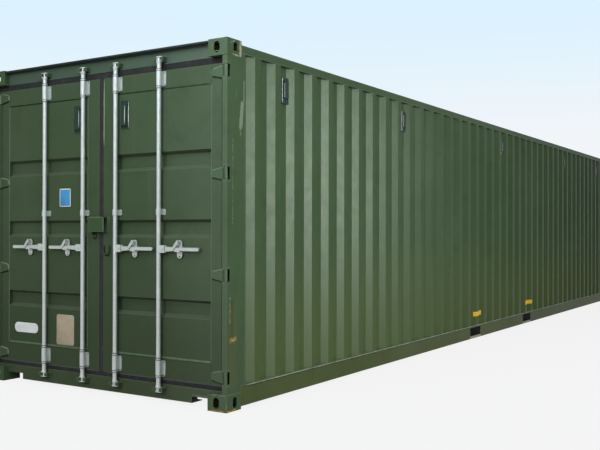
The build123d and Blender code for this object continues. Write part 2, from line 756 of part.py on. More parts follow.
def roof_rib(centre, z0, z1, inset):
    """Raised rib with sloping sides and ends."""
    foot_x = TOP_RAIL_OUTER_X - ROOF_EDGE_INSET - ROOF_RIB_END_MARGIN - inset
    foot_y = ROOF_RIB_WIDTH / 2 - inset
    crown_x = foot_x - ROOF_RIB_SLOPE
    crown_y = foot_y - ROOF_RIB_SLOPE
    across = prism_x([(centre - foot_y, z0), (centre + foot_y, z0),
                      (centre + crown_y, z1), (centre - crown_y, z1)], -foot_x, foot_x)
    along = prism_y([(-foot_x, z0), (foot_x, z0), (crown_x, z1), (-crown_x, z1)],
                    centre - foot_y, centre + foot_y)
    return across & along


# Floor and underframe

def floor():
    """Floor between the side rails, narrower between the posts at each end."""
    low = MEMBER_TOP
    top = MEMBER_TOP + FLOOR_THICK
    post_end = door_y(POST_END_Y)
    deck = block(-LEDGE_INNER_X, LEDGE_INNER_X, post_end, FRONT_POST_INNER_Y, low, top)
    deck += block(-DOORWAY_HALF_WIDTH, DOORWAY_HALF_WIDTH, -CASTING_INNER_Y,
                  post_end + 1, low, top)
    deck += block(-CASTING_INNER_X, CASTING_INNER_X, FRONT_POST_INNER_Y - 1,
                  FRONT_RAIL_INNER_Y, low, top)
    return deck


def cross_member(y):
    """Pressed channel across the underframe."""
    skin = MEMBER_SKIN
    low = MEMBER_LOW
    top = MEMBER_TOP
    far = y + MEMBER_FLANGE
    outline = [(y, low), (far, low), (far, low + skin), (y + skin, low + skin),
               (y + skin, top - skin), (far, top - skin), (far, top), (y, top)]
    return prism_x(outline, -MEMBER_HALF_LENGTH, MEMBER_HALF_LENGTH)


def cross_members(start, end):
    """Even row of cross members between two places along the container."""
    count = round((end - start) / MEMBER_PITCH) - 1
    pitch = (end - start) / (count + 1)
    return [cross_member(start + pitch * (number + 1) - MEMBER_FLANGE / 2)
            for number in range(count)]


def fork_pocket(centre):
    """Roof and sides of a tunnel across the underframe, open below."""
    half = POCKET_WIDTH / 2
    reach = MEMBER_HALF_LENGTH
    tunnel = block(-reach, reach, centre - half - POCKET_SKIN,
                   centre + half + POCKET_SKIN, POCKET_LOW, MEMBER_TOP)
    return tunnel - block(-reach - 1, reach + 1, centre - half, centre + half,
                          POCKET_LOW - 1, MEMBER_TOP - POCKET_SKIN)


def pocket_strap(centre):
    """Plate that ties the sides of a fork pocket together under its mouth."""
    half = POCKET_WIDTH / 2
    reach = MEMBER_HALF_LENGTH
    return block(reach - POCKET_STRAP_LENGTH, reach, centre - half, centre + half,
                 POCKET_LOW, POCKET_LOW + POCKET_SKIN)


# Door leaves, drawn for the right door and mirrored for the left

def leaf_frame():
    """Welded frame of tubes around the panel."""
    front = door_y(FACE_DEPTH)
    back = door_y(LEAF_BACK_DEPTH)
    frame = block(LEAF_CENTRE_HALF_GAP, LEAF_OUTER_X, front, back, LEAF_LOW, LEAF_TOP)
    return frame - block(PANEL_INNER_X, PANEL_OUTER_X, front - 1, back + 1,
                         PANEL_LOW, PANEL_TOP)


def leaf_panel():
    """Pressed sheet with recessed bands across it."""
    face = [(door_y(FACE_DEPTH), PANEL_LOW)]
    for centre in RECESS_CENTRES:
        half = RECESS_OPENING / 2
        deep = FACE_DEPTH + RECESS_DEPTH
        face.append((door_y(FACE_DEPTH), centre - half))
        face.append((door_y(deep), centre - half + RECESS_SLOPE))
        face.append((door_y(deep), centre + half - RECESS_SLOPE))
        face.append((door_y(FACE_DEPTH), centre + half))
    face.append((door_y(FACE_DEPTH), PANEL_TOP))
    rear = [(y + PANEL_SKIN, z) for y, z in reversed(face)]
    return prism_x(face + rear, PANEL_INNER_X, PANEL_OUTER_X)


def leaf_gasket():
    """Rubber seal around the leaf's four edges."""
    front = door_y(FACE_DEPTH + GASKET_DEPTH)
    back = front + GASKET_THICK
    low = SILL_TOP + GASKET_SILL_CLEAR
    top = HEIGHT - CASTING_HEIGHT - GASKET_SILL_CLEAR
    ring = block(GASKET_CENTRE_HALF_GAP, POST_LEG_X - GASKET_CLEAR, front, back, low, top)
    return ring - block(LEAF_CENTRE_HALF_GAP, LEAF_OUTER_X, front - 1, back + 1,
                        LEAF_LOW, LEAF_TOP)


def overlap_flap():
    """Lip of the right gasket that closes over the left gasket's edge."""
    front = door_y(FACE_DEPTH + FLAP_DEPTH)
    flap = block(-FLAP_REACH, LEAF_CENTRE_HALF_GAP, front, front + FLAP_THICK,
                 LEAF_LOW, LEAF_TOP)
    root = block(GASKET_CENTRE_HALF_GAP, LEAF_CENTRE_HALF_GAP, front,
                 door_y(FACE_DEPTH + GASKET_DEPTH + 1), LEAF_LOW, LEAF_TOP)
    return flap + root


def hinge_blades():
    """Forged blades welded to the leaf, with bored knuckles on the pins."""
    pin_y = door_y(HINGE_PIN_DEPTH)
    leaf_y = door_y(FACE_DEPTH)
    rise = FACE_DEPTH - HINGE_PIN_DEPTH - BLADE_THICK / 2
    run = math.hypot(BLADE_BEND, rise)
    off_x = BLADE_THICK / 2 * rise / run
    off_y = BLADE_THICK / 2 * BLADE_BEND / run
    bend_x = HINGE_X - BLADE_BEND
    bend_y = pin_y + rise
    tip_x = HINGE_X - BLADE_REACH
    outline = [(tip_x, leaf_y), (tip_x, leaf_y - BLADE_THICK),
               (bend_x - off_x, bend_y - off_y), (HINGE_X - off_x, pin_y - off_y),
               (HINGE_X + off_x, pin_y + off_y), (bend_x + off_x, leaf_y)]
    blades = []
    for height in HINGE_HEIGHTS:
        low = height - KNUCKLE_HALF_HEIGHT
        top = height + KNUCKLE_HALF_HEIGHT
        blade = prism_z(outline, low, top)
        blade += cylinder_z(HINGE_X, pin_y, low, top, KNUCKLE_RADIUS)
        taper = prism_y([(tip_x - 1, height - BLADE_TIP_HALF_HEIGHT),
                         (bend_x, low - 1), (HALF_WIDTH, low - 1),
                         (HALF_WIDTH, top + 1), (bend_x, top + 1),
                         (tip_x - 1, height + BLADE_TIP_HALF_HEIGHT)],
                        door_y(0), leaf_y + 1)
        blade = blade & taper
        blade -= cylinder_z(HINGE_X, pin_y, low - 1, top + 1,
                            HINGE_PIN_RADIUS + HINGE_CLEARANCE)
        blades.append(blade)
    return blades


def rod_bearing(x, centre, plate_height, sleeve_centre, sleeve_height):
    """Sleeve around a lock rod, on a bolted plate."""
    rod_y = door_y(ROD_DEPTH)
    face = door_y(FACE_DEPTH)
    plate_y = face - BEARING_PLATE_THICK
    plate = rounded_plate(x, centre, plate_y, face, BEARING_PLATE_WIDTH, plate_height,
                          BEARING_PLATE_CORNER)
    sleeve_low = sleeve_centre - sleeve_height / 2
    sleeve_top = sleeve_centre + sleeve_height / 2
    plate += block(x - BEARING_NECK_HALF, x + BEARING_NECK_HALF, rod_y, plate_y + 1,
                   max(sleeve_low, centre - plate_height / 2),
                   min(sleeve_top, centre + plate_height / 2))
    plate += cylinder_z(x, rod_y, sleeve_low, sleeve_top, BEARING_RADIUS)
    plate -= cylinder_z(x, rod_y, sleeve_low - 1, sleeve_top + 1,
                        ROD_RADIUS + BEARING_CLEARANCE)
    return plate


def rod_bearings():
    bearings = []
    for x in ROD_OFFSETS:
        for centre, sleeve_centre in ((BEARING_BOTTOM_CENTRE, BEARING_BOTTOM_CENTRE),
                                      (BEARING_TOP_CENTRE, TOP_SLEEVE_CENTRE)):
            bearings.append(rod_bearing(x, centre, BEARING_PLATE_HEIGHT, sleeve_centre,
                                        BEARING_SLEEVE_HEIGHT))
        bearings.append(rod_bearing(x, BEARING_MIDDLE_CENTRE, BEARING_MIDDLE_HEIGHT,
                                    BEARING_MIDDLE_CENTRE, BEARING_MIDDLE_HEIGHT))
    return bearings


def handle_retainer(rod_x):
    """Bracket behind the handle with a shelf, a lip and the catch's rivet."""
    x = rod_x + RETAINER_OFFSET
    half = RETAINER_WIDTH / 2
    front = door_y(RETAINER_DEPTH)
    back = front + RETAINER_PLATE
    seat = door_y(FACE_DEPTH)
    centre_z = (RETAINER_LOW + RETAINER_TOP) / 2
    height = RETAINER_TOP - RETAINER_LOW
    plate = slot_y(x, centre_z, front, back, height, RETAINER_WIDTH)
    shelf_top = HANDLE_HEIGHT - handle_half_height(RETAINER_OFFSET) - SHELF_GAP
    shelf_low = shelf_top - SHELF_THICK
    lip_back = door_y(HANDLE_FRONT_DEPTH - SHELF_GAP)
    lip_front = lip_back - SHELF_LIP
    plate += block(x - half, x + half, lip_front, front + 1, shelf_low, shelf_top)
    plate += block(x - half, x + half, lip_front, lip_back, shelf_low,
                   shelf_top + SHELF_LIP_RISE)
    for leg_x in (x - half, x + half - RETAINER_LEG_WIDTH):
        plate += block(leg_x, leg_x + RETAINER_LEG_WIDTH, back - 1, seat,
                       centre_z - half, centre_z + half)
    plate += cylinder_y(x, CATCH_PIVOT_HEIGHT, door_y(CATCH_BACK_DEPTH), front + 1,
                        CATCH_BOSS_RADIUS)
    plate += cylinder_y(x, CATCH_PIVOT_HEIGHT, door_y(CATCH_FRONT_DEPTH),
                        door_y(CATCH_BACK_DEPTH) + 1, CATCH_PIN_RADIUS)
    plate += cylinder_y(x, CATCH_PIVOT_HEIGHT,
                        door_y(CATCH_FRONT_DEPTH - CATCH_HEAD_THICK),
                        door_y(CATCH_FRONT_DEPTH), CATCH_HEAD_RADIUS)
    plate -= cylinder_y(x, RETAINER_LOW + half / 2, front - 1, back + 1,
                        RETAINER_HOLE_RADIUS)
    return plate


def catch(rod_x, side):
    """Swinging plate that hangs from the rivet, its foot in front of the handle."""
    x = rod_x + RETAINER_OFFSET
    front = door_y(CATCH_FRONT_DEPTH)
    back = door_y(CATCH_BACK_DEPTH)
    eye = (x, CATCH_PIVOT_HEIGHT)
    end = (x + side * CATCH_REACH, CATCH_PIVOT_HEIGHT - CATCH_DROP)
    length = math.hypot(CATCH_REACH, CATCH_DROP)
    off_x = CATCH_DROP / length
    off_z = side * CATCH_REACH / length
    web = [(eye[0] + off_x * CATCH_EYE_RADIUS, eye[1] + off_z * CATCH_EYE_RADIUS),
           (end[0] + off_x * CATCH_END_RADIUS, end[1] + off_z * CATCH_END_RADIUS),
           (end[0] - off_x * CATCH_END_RADIUS, end[1] - off_z * CATCH_END_RADIUS),
           (eye[0] - off_x * CATCH_EYE_RADIUS, eye[1] - off_z * CATCH_EYE_RADIUS)]
    plate = prism_y(web, front, back)
    plate += cylinder_y(eye[0], eye[1], front, back, CATCH_EYE_RADIUS)
    plate += cylinder_y(end[0], end[1], front, back, CATCH_END_RADIUS)
    plate -= cylinder_y(eye[0], eye[1], front - 1, back + 1,
                        CATCH_PIN_RADIUS + HANDLE_PIN_CLEARANCE)
    return plate


def door_vent(inner):
    """Small hooded vent on the panel."""
    seat = door_y(FACE_DEPTH)
    front = seat - DOOR_VENT_PROUD
    rim = seat - DOOR_VENT_RIM
    low = DOOR_VENT_LOW
    top = low + DOOR_VENT_HEIGHT
    base = block(inner, inner + DOOR_VENT_WIDTH, rim, seat, low, top)
    hood_low = low + DOOR_VENT_END_MARGIN
    hood_top = top - DOOR_VENT_END_MARGIN
    hood = prism_x([(rim, hood_low), (front, hood_low + DOOR_VENT_SLOPE),
                    (front, hood_top - DOOR_VENT_SLOPE), (rim, hood_top)],
                   inner + DOOR_VENT_SIDE_MARGIN,
                   inner + DOOR_VENT_WIDTH - DOOR_VENT_SIDE_MARGIN)
    return base + hood


# Lock rods and handles

def cam_flange(rod_x, low):
    """Tongued plate of a cam."""
    rod_y = door_y(ROD_DEPTH)
    length = CAM_FLANGE_INNER + CAM_FLANGE_OUTER
    centre = rod_x + (CAM_FLANGE_OUTER - CAM_FLANGE_INNER) / 2
    outline = Pos(centre, rod_y, low) * SlotOverall(length, CAM_FLANGE_WIDTH)
    return extrude(outline, amount=CAM_FLANGE_THICK, dir=(0, 0, 1))


def cam(rod_x, low):
    """Two tongued plates on a neck, with a lobe that tucks behind the keeper's lip."""
    rod_y = door_y(ROD_DEPTH)
    top = low + CAM_HEIGHT
    half = CAM_LOBE_HALF_THICK
    tip = rod_x - CAM_LOBE_REACH + half
    shape = cylinder_z(rod_x, rod_y, low, top, CAM_NECK_RADIUS)
    shape += cam_flange(rod_x, low)
    shape += cam_flange(rod_x, top - CAM_FLANGE_THICK)
    shape += block(tip, rod_x, rod_y - half, rod_y + half, low, top)
    return shape + cylinder_z(tip, rod_y, low, top, half)


def cam_flare(rod_x, cam_end, direction):
    """Forged cone between the rod and the outer face of a cam's plate."""
    cone = Cone(CAM_FLARE_RADIUS, ROD_RADIUS, CAM_FLARE_HEIGHT)
    if direction < 0:
        cone = cone.rotate(Axis.X, 180)
    middle = cam_end + direction * CAM_FLARE_HEIGHT / 2
    return cone.moved(Location((rod_x, door_y(ROD_DEPTH), middle)))


def handle_half_height(reach):
    """Half the handle's height at a distance from the rod's axis."""
    neck = HANDLE_PIVOT + HANDLE_EYE_RADIUS
    share = min(1.0, (reach - neck) / (HANDLE_GRIP_START - neck))
    return HANDLE_NECK_HALF + share * (HANDLE_GRIP_HALF - HANDLE_NECK_HALF)


def lock_rod(rod_x):
    """Rod with a cam at each end, collars at its bearings and the handle's hub."""
    rod_y = door_y(ROD_DEPTH)
    rod = cylinder_z(rod_x, rod_y, CAM_BOTTOM_LOW + CAM_HEIGHT, CAM_TOP_LOW, ROD_RADIUS)
    rod += cam(rod_x, CAM_TOP_LOW) + cam_flare(rod_x, CAM_TOP_LOW, -1)
    rod += cam(rod_x, CAM_BOTTOM_LOW) + cam_flare(rod_x, CAM_BOTTOM_LOW + CAM_HEIGHT, 1)
    half_sleeve = BEARING_SLEEVE_HEIGHT / 2
    upper = TOP_SLEEVE_CENTRE - half_sleeve - ROD_COLLAR_PLAY
    lower = BEARING_BOTTOM_CENTRE + half_sleeve + ROD_COLLAR_PLAY
    rod += cylinder_z(rod_x, rod_y, upper - ROD_COLLAR_HEIGHT, upper, ROD_COLLAR_RADIUS)
    rod += cylinder_z(rod_x, rod_y, lower, lower + ROD_COLLAR_HEIGHT, ROD_COLLAR_RADIUS)
    low = HANDLE_HEIGHT - HUB_HALF_HEIGHT
    top = HANDLE_HEIGHT + HUB_HALF_HEIGHT
    front = door_y(HANDLE_FRONT_DEPTH - HANDLE_SIDE_PLAY)
    back = door_y(HANDLE_BACK_DEPTH + HANDLE_SIDE_PLAY)
    for y0, y1 in ((front - HUB_CHEEK, front), (back, back + HUB_CHEEK)):
        rod += block(rod_x, rod_x + HUB_REACH, y0, y1, low, top)
    pin_x = rod_x + HANDLE_PIVOT
    rod += cylinder_y(pin_x, HANDLE_HEIGHT, front - 1, back + 1, HANDLE_PIN_RADIUS)
    rod += cylinder_y(pin_x, HANDLE_HEIGHT, front - HUB_CHEEK - PIN_HEAD_THICK,
                      front - HUB_CHEEK, PIN_HEAD_RADIUS)
    rod += cylinder_y(pin_x, HANDLE_HEIGHT, back + HUB_CHEEK,
                      back + HUB_CHEEK + PIN_HEAD_THICK, PIN_HEAD_RADIUS)
    return rod


def handle(rod_x):
    """Forged lever from the hub to the grip, lying in the retainer."""
    front = door_y(HANDLE_FRONT_DEPTH)
    back = door_y(HANDLE_BACK_DEPTH)
    z = HANDLE_HEIGHT
    pivot = rod_x + HANDLE_PIVOT
    grip = rod_x + HANDLE_GRIP_START
    tip = rod_x + HANDLE_LENGTH - HANDLE_GRIP_HALF
    outline = [(pivot, z - HANDLE_EYE_RADIUS),
               (pivot + HANDLE_EYE_RADIUS, z - HANDLE_NECK_HALF),
               (grip, z - HANDLE_GRIP_HALF), (tip, z - HANDLE_GRIP_HALF),
               (tip, z + HANDLE_GRIP_HALF), (grip, z + HANDLE_GRIP_HALF),
               (pivot + HANDLE_EYE_RADIUS, z + HANDLE_NECK_HALF),
               (pivot, z + HANDLE_EYE_RADIUS)]
    lever = prism_y(outline, front, back)
    lever += cylinder_y(pivot, z, front, back, HANDLE_EYE_RADIUS)
    lever += cylinder_y(tip, z, front, back, HANDLE_GRIP_HALF)
    return lever - cylinder_y(pivot, z, front - 1, back + 1,
                              HANDLE_PIN_RADIUS + HANDLE_PIN_CLEARANCE)


def cam_keeper(rod_x, low, bridge_on_top):
    """Keeper on the header or sill: two cheeks with lips, joined above or below."""
    face = door_y(FACE_DEPTH)
    half = KEEPER_WIDTH / 2
    top = low + KEEPER_HEIGHT
    lift = (KEEPER_HEIGHT - KEEPER_BRIDGE) / 2
    middle = low + lift if bridge_on_top else top - lift
    keeper = block(rod_x - half, rod_x + half, face - KEEPER_BASE, face, low, top)
    window = KEEPER_WINDOW_HALF
    if bridge_on_top:
        keeper -= block(rod_x - window, rod_x + window, face - KEEPER_BASE - 1, face + 1,
                        low - 1, top - KEEPER_BRIDGE)
    else:
        keeper -= block(rod_x - window, rod_x + window, face - KEEPER_BASE - 1, face + 1,
                        low + KEEPER_BRIDGE, top + 1)
    lip_front = door_y(KEEPER_LIP_DEPTH)
    for side in (-1, 1):
        outer = rod_x + side * half
        inner = outer - side * KEEPER_CHEEK
        reach = rod_x + side * KEEPER_LIP_GAP
        keeper += block(min(outer, inner), max(outer, inner), lip_front,
                        face - KEEPER_BASE + 1, middle - KEEPER_LIP_HEIGHT / 2,
                        middle + KEEPER_LIP_HEIGHT / 2)
        keeper += block(min(outer, reach), max(outer, reach), lip_front,
                        lip_front + KEEPER_LIP_THICK, middle - KEEPER_LIP_HEIGHT / 2,
                        middle + KEEPER_LIP_HEIGHT / 2)
    return keeper


def cam_keepers():
    keepers = []
    for x in ROD_OFFSETS:
        keepers.append(cam_keeper(x, KEEPER_TOP_LOW, True))
        keepers.append(cam_keeper(x, KEEPER_BOTTOM_LOW, False))
    return both_sides(keepers)


# Lock box, staple and ring

def lock_box():
    """Open box on the right leaf that covers the lock staple of the left leaf."""
    front = door_y(BOX_FRONT_DEPTH)
    back = door_y(FACE_DEPTH)
    clear = back - BOX_CLEAR
    skin = BOX_SKIN
    edge = LEAF_CENTRE_HALF_GAP
    cover = block(BOX_LEFT, BOX_RIGHT, front, front + skin, BOX_LOW, BOX_TOP)
    cover += block(BOX_LEFT, BOX_RIGHT, front, clear, BOX_TOP - skin, BOX_TOP)
    cover += block(BOX_LEFT, BOX_LEFT + skin, front, clear, BOX_LOW, BOX_TOP)
    cover += block(edge, BOX_RIGHT, clear - 1, back, BOX_TOP - skin, BOX_TOP)
    cover += block(edge, BOX_RIGHT, back - skin, back, BOX_LOW, BOX_TOP)
    return cover


def lock_staple():
    """Plate with an eye on the left leaf, inside the lock box, and a hook below."""
    face = door_y(FACE_DEPTH)
    right = STAPLE_LEFT + STAPLE_WIDTH
    top = STAPLE_LOW + STAPLE_HEIGHT
    base_front = face - STAPLE_BASE
    base = block(STAPLE_LEFT, right, base_front, face, STAPLE_LOW, top)
    eye_left = STAPLE_LEFT + STAPLE_EYE_OFFSET
    eye = block(eye_left, eye_left + STAPLE_THICK, face - STAPLE_PROUD, base_front + 1,
                STAPLE_LOW + STAPLE_EYE_LOW, top)
    hole = Cylinder(STAPLE_HOLE_RADIUS, STAPLE_THICK + 2).rotate(Axis.Y, 90)
    eye -= hole.moved(Location((eye_left + STAPLE_THICK / 2,
                                face - STAPLE_PROUD + STAPLE_HOLE_INSET,
                                top - STAPLE_HOLE_DROP)))
    hook_y = face - HOOK_RADIUS
    shank_x = right - HOOK_RADIUS
    shank = cylinder_z(shank_x, hook_y, HOOK_BEND_HEIGHT, STAPLE_LOW + HOOK_BEND,
                       HOOK_RADIUS)
    bend = half_ring(shank_x - HOOK_BEND, hook_y, HOOK_BEND_HEIGHT, HOOK_BEND,
                     HOOK_RADIUS)
    return base + eye + shank + bend


def tie_ring():
    """U-shaped ring on the right leaf's meeting stile."""
    face = door_y(FACE_DEPTH)
    ring_y = face - RING_WIRE
    bend_z = RING_LOW + RING_HALF_WIDTH
    legs = []
    for side in (-1, 1):
        legs.append(cylinder_z(RING_CENTRE + side * RING_HALF_WIDTH, ring_y, bend_z,
                               RING_TOP, RING_WIRE))
    return half_ring(RING_CENTRE, ring_y, bend_z, RING_HALF_WIDTH, RING_WIRE) + legs


def build():
    os.makedirs("parts", exist_ok=True)
    save("corner_castings", corner_castings())
    save("door_corner_posts", both_sides([door_post()]))
    save("front_corner_posts", both_sides([front_post()]))
    save("hinge_pins", hinge_pins())
    save("door_header", [door_header()])
    save("door_sill", [door_sill()])
    save("front_cross_rails", front_cross_rails())
    save("front_wall", [front_wall()])
    right_wall = side_wall()
    save("side_wall_right", [right_wall])
    save("side_wall_left", [mirrored_x(right_wall)])
    save("top_side_rails", both_sides([top_side_rail()]))
    save("bottom_side_rails", both_sides(bottom_side_rail()))
    save("side_vents", side_vents())
    save("roof", [roof()])
    save("floor", [floor()])
    pocket_edge = POCKET_OFFSET + POCKET_WIDTH / 2 + POCKET_SKIN
    pocket_inner = POCKET_OFFSET - POCKET_WIDTH / 2 - POCKET_SKIN
    save("cross_members_door_end", cross_members(-CASTING_INNER_Y, -pocket_edge))
    save("cross_members_middle", cross_members(-pocket_inner, pocket_inner))
    save("cross_members_front_end", cross_members(pocket_edge, FRONT_RAIL_INNER_Y))
    pockets = (-POCKET_OFFSET, POCKET_OFFSET)
    save("fork_pockets", [fork_pocket(centre) for centre in pockets])
    save("fork_pocket_straps", both_sides([pocket_strap(centre) for centre in pockets]))
    save("fork_pocket_frames", both_sides([pocket_frame(centre) for centre in pockets]))
    save("cam_keepers", cam_keepers())
    frame = leaf_frame()
    panel = leaf_panel()
    gasket = leaf_gasket()
    blades = hinge_blades()
    bearings = rod_bearings()
    retainers = [handle_retainer(x) for x in ROD_OFFSETS]
    save("right_door_frame", [frame])
    save("left_door_frame", [mirrored_x(frame)])
    save("right_door_panel", [panel])
    save("left_door_panel", [mirrored_x(panel)])
    save("right_door_gasket", [gasket + overlap_flap()])
    save("left_door_gasket", [mirrored_x(gasket)])
    save("right_hinge_blades", blades)
    save("left_hinge_blades", [mirrored_x(blade) for blade in blades])
    save("right_rod_bearings", bearings)
    save("left_rod_bearings", [mirrored_x(bearing) for bearing in bearings])
    save("right_handle_retainers", retainers)
    save("left_handle_retainers", [mirrored_x(retainer) for retainer in retainers])
    save("right_door_vent", [door_vent(DOOR_VENT_INNER_RIGHT)])
    save("left_door_vent", [mirrored_x(door_vent(DOOR_VENT_INNER_LEFT))])
    save("lock_box", [lock_box()])
    save("lock_staple", [lock_staple()])
    save("tie_ring", [tie_ring()])
    inner, outer = ROD_OFFSETS
    for number, x, side in ((1, outer, -1), (2, inner, -1), (3, inner, 1), (4, outer, 1)):
        shapes = {"lock_rod": lock_rod(x), "handle": handle(x), "catch": catch(x, -side)}
        for name, shape in shapes.items():
            if side < 0:
                shape = mirrored_x(shape)
            save(name + "_" + str(number), [shape])


build()
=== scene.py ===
import math

import bmesh
import bpy
from mathutils import Matrix, Vector
from mathutils.bvhtree import BVHTree


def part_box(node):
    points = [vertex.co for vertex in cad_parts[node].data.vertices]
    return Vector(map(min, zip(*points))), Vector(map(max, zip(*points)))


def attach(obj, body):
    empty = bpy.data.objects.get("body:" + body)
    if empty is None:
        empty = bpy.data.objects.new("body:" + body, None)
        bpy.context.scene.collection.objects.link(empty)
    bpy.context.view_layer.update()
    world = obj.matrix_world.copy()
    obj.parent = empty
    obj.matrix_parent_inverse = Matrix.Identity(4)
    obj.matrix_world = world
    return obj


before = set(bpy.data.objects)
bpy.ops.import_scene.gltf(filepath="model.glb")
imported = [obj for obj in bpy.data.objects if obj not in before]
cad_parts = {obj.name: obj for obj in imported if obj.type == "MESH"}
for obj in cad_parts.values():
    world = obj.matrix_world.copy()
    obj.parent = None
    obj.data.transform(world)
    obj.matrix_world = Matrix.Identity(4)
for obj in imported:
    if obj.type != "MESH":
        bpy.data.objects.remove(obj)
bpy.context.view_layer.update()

# The photograph's frame and camera, in pixels, degrees and metres
PHOTO_WIDTH = 600
PHOTO_HEIGHT = 450
FOCAL_PIXELS = 869.26
PRINCIPAL_X = 233.82
PRINCIPAL_Y = 227.53
CAMERA_YAW = -34.636
CAMERA_PITCH = 0.2549
CAMERA_ROLL = 0.1124
CAMERA_PLACE = Vector((4.6538, -10.9837, 1.2503))
SENSOR_MM = 36.0
CLIP_END = 300.0

# Colours, linear
GREEN = (0.056, 0.094, 0.045)
GREEN_FADED = (0.066, 0.108, 0.055)
GREEN_DEEP = (0.044, 0.074, 0.034)
# Paler green, the painted highlight of weld beads
GREEN_WELD_HIGHLIGHT = (0.098, 0.148, 0.085)
GREEN_HIGHLIGHT = (0.190, 0.250, 0.165)
GREEN_SHEEN = (0.860, 1.000, 0.800)
DOOR_GREEN = (0.060, 0.090, 0.047)
# Lighter, bluer green for the header: painted sky reflection
HEADER_REFLECTION_GREEN = (0.070, 0.104, 0.072)
GREEN_DARK = (0.018, 0.030, 0.016)
# Very dark green for the tie ring and staple: painted shade
HOOK_SHADE_GREEN = (0.010, 0.017, 0.011)
RAIL_GREEN = (0.068, 0.091, 0.033)
FOOT_GREEN = (0.078, 0.112, 0.040)
# Painted shade for the doors' lower part
DOOR_FOOT_SHADE = (0.051, 0.072, 0.038)
SILL_GREEN = (0.056, 0.078, 0.039)
# Pale green of painted highlights on the leaf edge and the walls' foot
LEDGE_HIGHLIGHT = (0.260, 0.310, 0.220)
OLIVE = (0.105, 0.105, 0.042)
PRIMER = (0.110, 0.085, 0.060)
RUST = (0.150, 0.062, 0.022)
RUST_DARK = (0.060, 0.026, 0.012)
# Pale dust colour, also used as the painted highlight on edges
DUST_AND_HIGHLIGHT = (0.230, 0.235, 0.200)
MUD = (0.060, 0.060, 0.036)
UNDERFRAME = (0.020, 0.024, 0.020)
RUST_YELLOW = (0.420, 0.230, 0.040)
RUST_PALE = (0.270, 0.190, 0.105)
RUBBED = (0.400, 0.370, 0.250)
SCRATCHED = (0.210, 0.270, 0.180)
RUBBER = (0.014, 0.013, 0.014)
RUBBER_HIGHLIGHT = (0.085, 0.090, 0.090)
CAVITY = (0.010, 0.013, 0.009)
ZINC = (0.530, 0.550, 0.520)
ZINC_DULL = (0.500, 0.515, 0.480)
ZINC_DARK = (0.330, 0.345, 0.335)
ZINC_WHITE = (0.780, 0.790, 0.770)
PLYWOOD = (0.300, 0.175, 0.090)
PLYWOOD_DARK = (0.150, 0.080, 0.040)
BLUE_FILM = (0.055, 0.260, 0.520)
WHITE_FILM = (0.800, 0.810, 0.780)
YELLOW_FILM = (0.760, 0.460, 0.010)
TAN_PLATE = (0.400, 0.330, 0.230)
VENT_GREEN = (0.016, 0.040, 0.032)
# Pale colour of painted highlights on vent rims
RIM_HIGHLIGHT = (0.560, 0.590, 0.560)

# Backdrop and floor as the camera sees them, and the world's light on the object
SKY_TOP = (0.708, 0.888, 1.0)
SKY_HORIZON = (0.905, 0.915, 0.935)
SKY_TOP_SINE = 0.26
SKY_HORIZON_SINE = 0.06
FLOOR_COLOUR = (0.400, 0.400, 0.405)
FLOOR_SHOWN = (1.0, 1.0, 1.0)
FLOOR_GLOW = 0.86
FLOOR_SIZE = 160.0
WORLD_LIGHT = (0.95, 0.98, 1.0)
WORLD_STRENGTH = 0.37

# Dirty joints of the rods' sleeves: heights, and half the width of each
SLEEVE_JOINTS = (0.184, 0.198, 0.312, 0.326, 2.295, 2.309, 2.423, 2.437)
JOINT_REACH = 0.004

# Inner faces of the hollow castings, as distances from the container's middle planes,
# and how softly the dark inside begins there
HALF_HEIGHT = 1.2955
CAVITY_X = (1.066, 1.210)
CAVITY_Y = (5.927, 6.087)
CAVITY_Z = (HALF_HEIGHT - 0.109, HALF_HEIGHT - 0.009)
CAVITY_SOFT = 0.002

# Heights at which the paint's lower tint begins and is full, and where splashes end
# On the doors the lower tint is a painted shade, darker towards the bottom
FOOT_FADE = (1.3, 0.3)
SPLASH_HEIGHT = 0.8


def corner_low(node):
    """The least x, y and z of a node's box."""
    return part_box(node)[0]


def corner_high(node):
    """The greatest x, y and z of a node's box."""
    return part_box(node)[1]


# Local wear, each a line with its reach, raggedness, colour and share
POST_MARKS = (
    ((1.215, -6.020, 0.200), (1.215, -6.020, 0.700), 0.060, 0.030, OLIVE, 0.38),
    ((1.215, -6.025, 0.520), (1.215, -6.025, 0.760), 0.026, 0.010, MUD, 0.45),
    ((1.215, -6.045, 0.496), (1.215, -5.985, 0.506), 0.006, 0.050, RUST_YELLOW, 0.9),
    ((1.215, -6.040, 0.486), (1.215, -6.000, 0.494), 0.003, 0.040, RUBBED, 0.7),
    ((1.215, -6.050, 0.620), (1.215, -6.050, 0.790), 0.003, 0.020, RUBBED, 0.6),
    ((1.215, -5.884, 2.170), (1.215, -5.881, 2.310), 0.007, 0.003, SCRATCHED, 0.7),
    ((1.215, -5.922, 1.990), (1.215, -5.903, 2.150), 0.024, 0.012, SCRATCHED, 0.85),
    ((1.215, -5.926, 1.930), (1.215, -5.924, 2.000), 0.007, 0.016, RUST_PALE, 0.7),
    ((1.215, -5.985, 2.190), (1.215, -5.975, 2.240), 0.001, 0.016, RUBBED, 0.3),
    ((1.215, -6.020, 1.300), (1.215, -6.020, 1.900), 0.001, 0.013, RUBBED, 0.4),
    ((0.880, -6.044, 0.084), (1.050, -6.044, 0.080), 0.002, 0.009, RUBBED, 0.5),
    ((-1.215, -6.000, 0.900), (-1.215, -5.960, 1.300), 0.012, 0.010, SCRATCHED, 0.7),
    ((-1.215, 5.980, 0.450), (-1.215, 5.990, 0.800), 0.010, 0.030, RUST, 0.6),
    ((1.215, 5.990, 1.100), (1.215, 5.950, 1.500), 0.010, 0.010, SCRATCHED, 0.7),
)
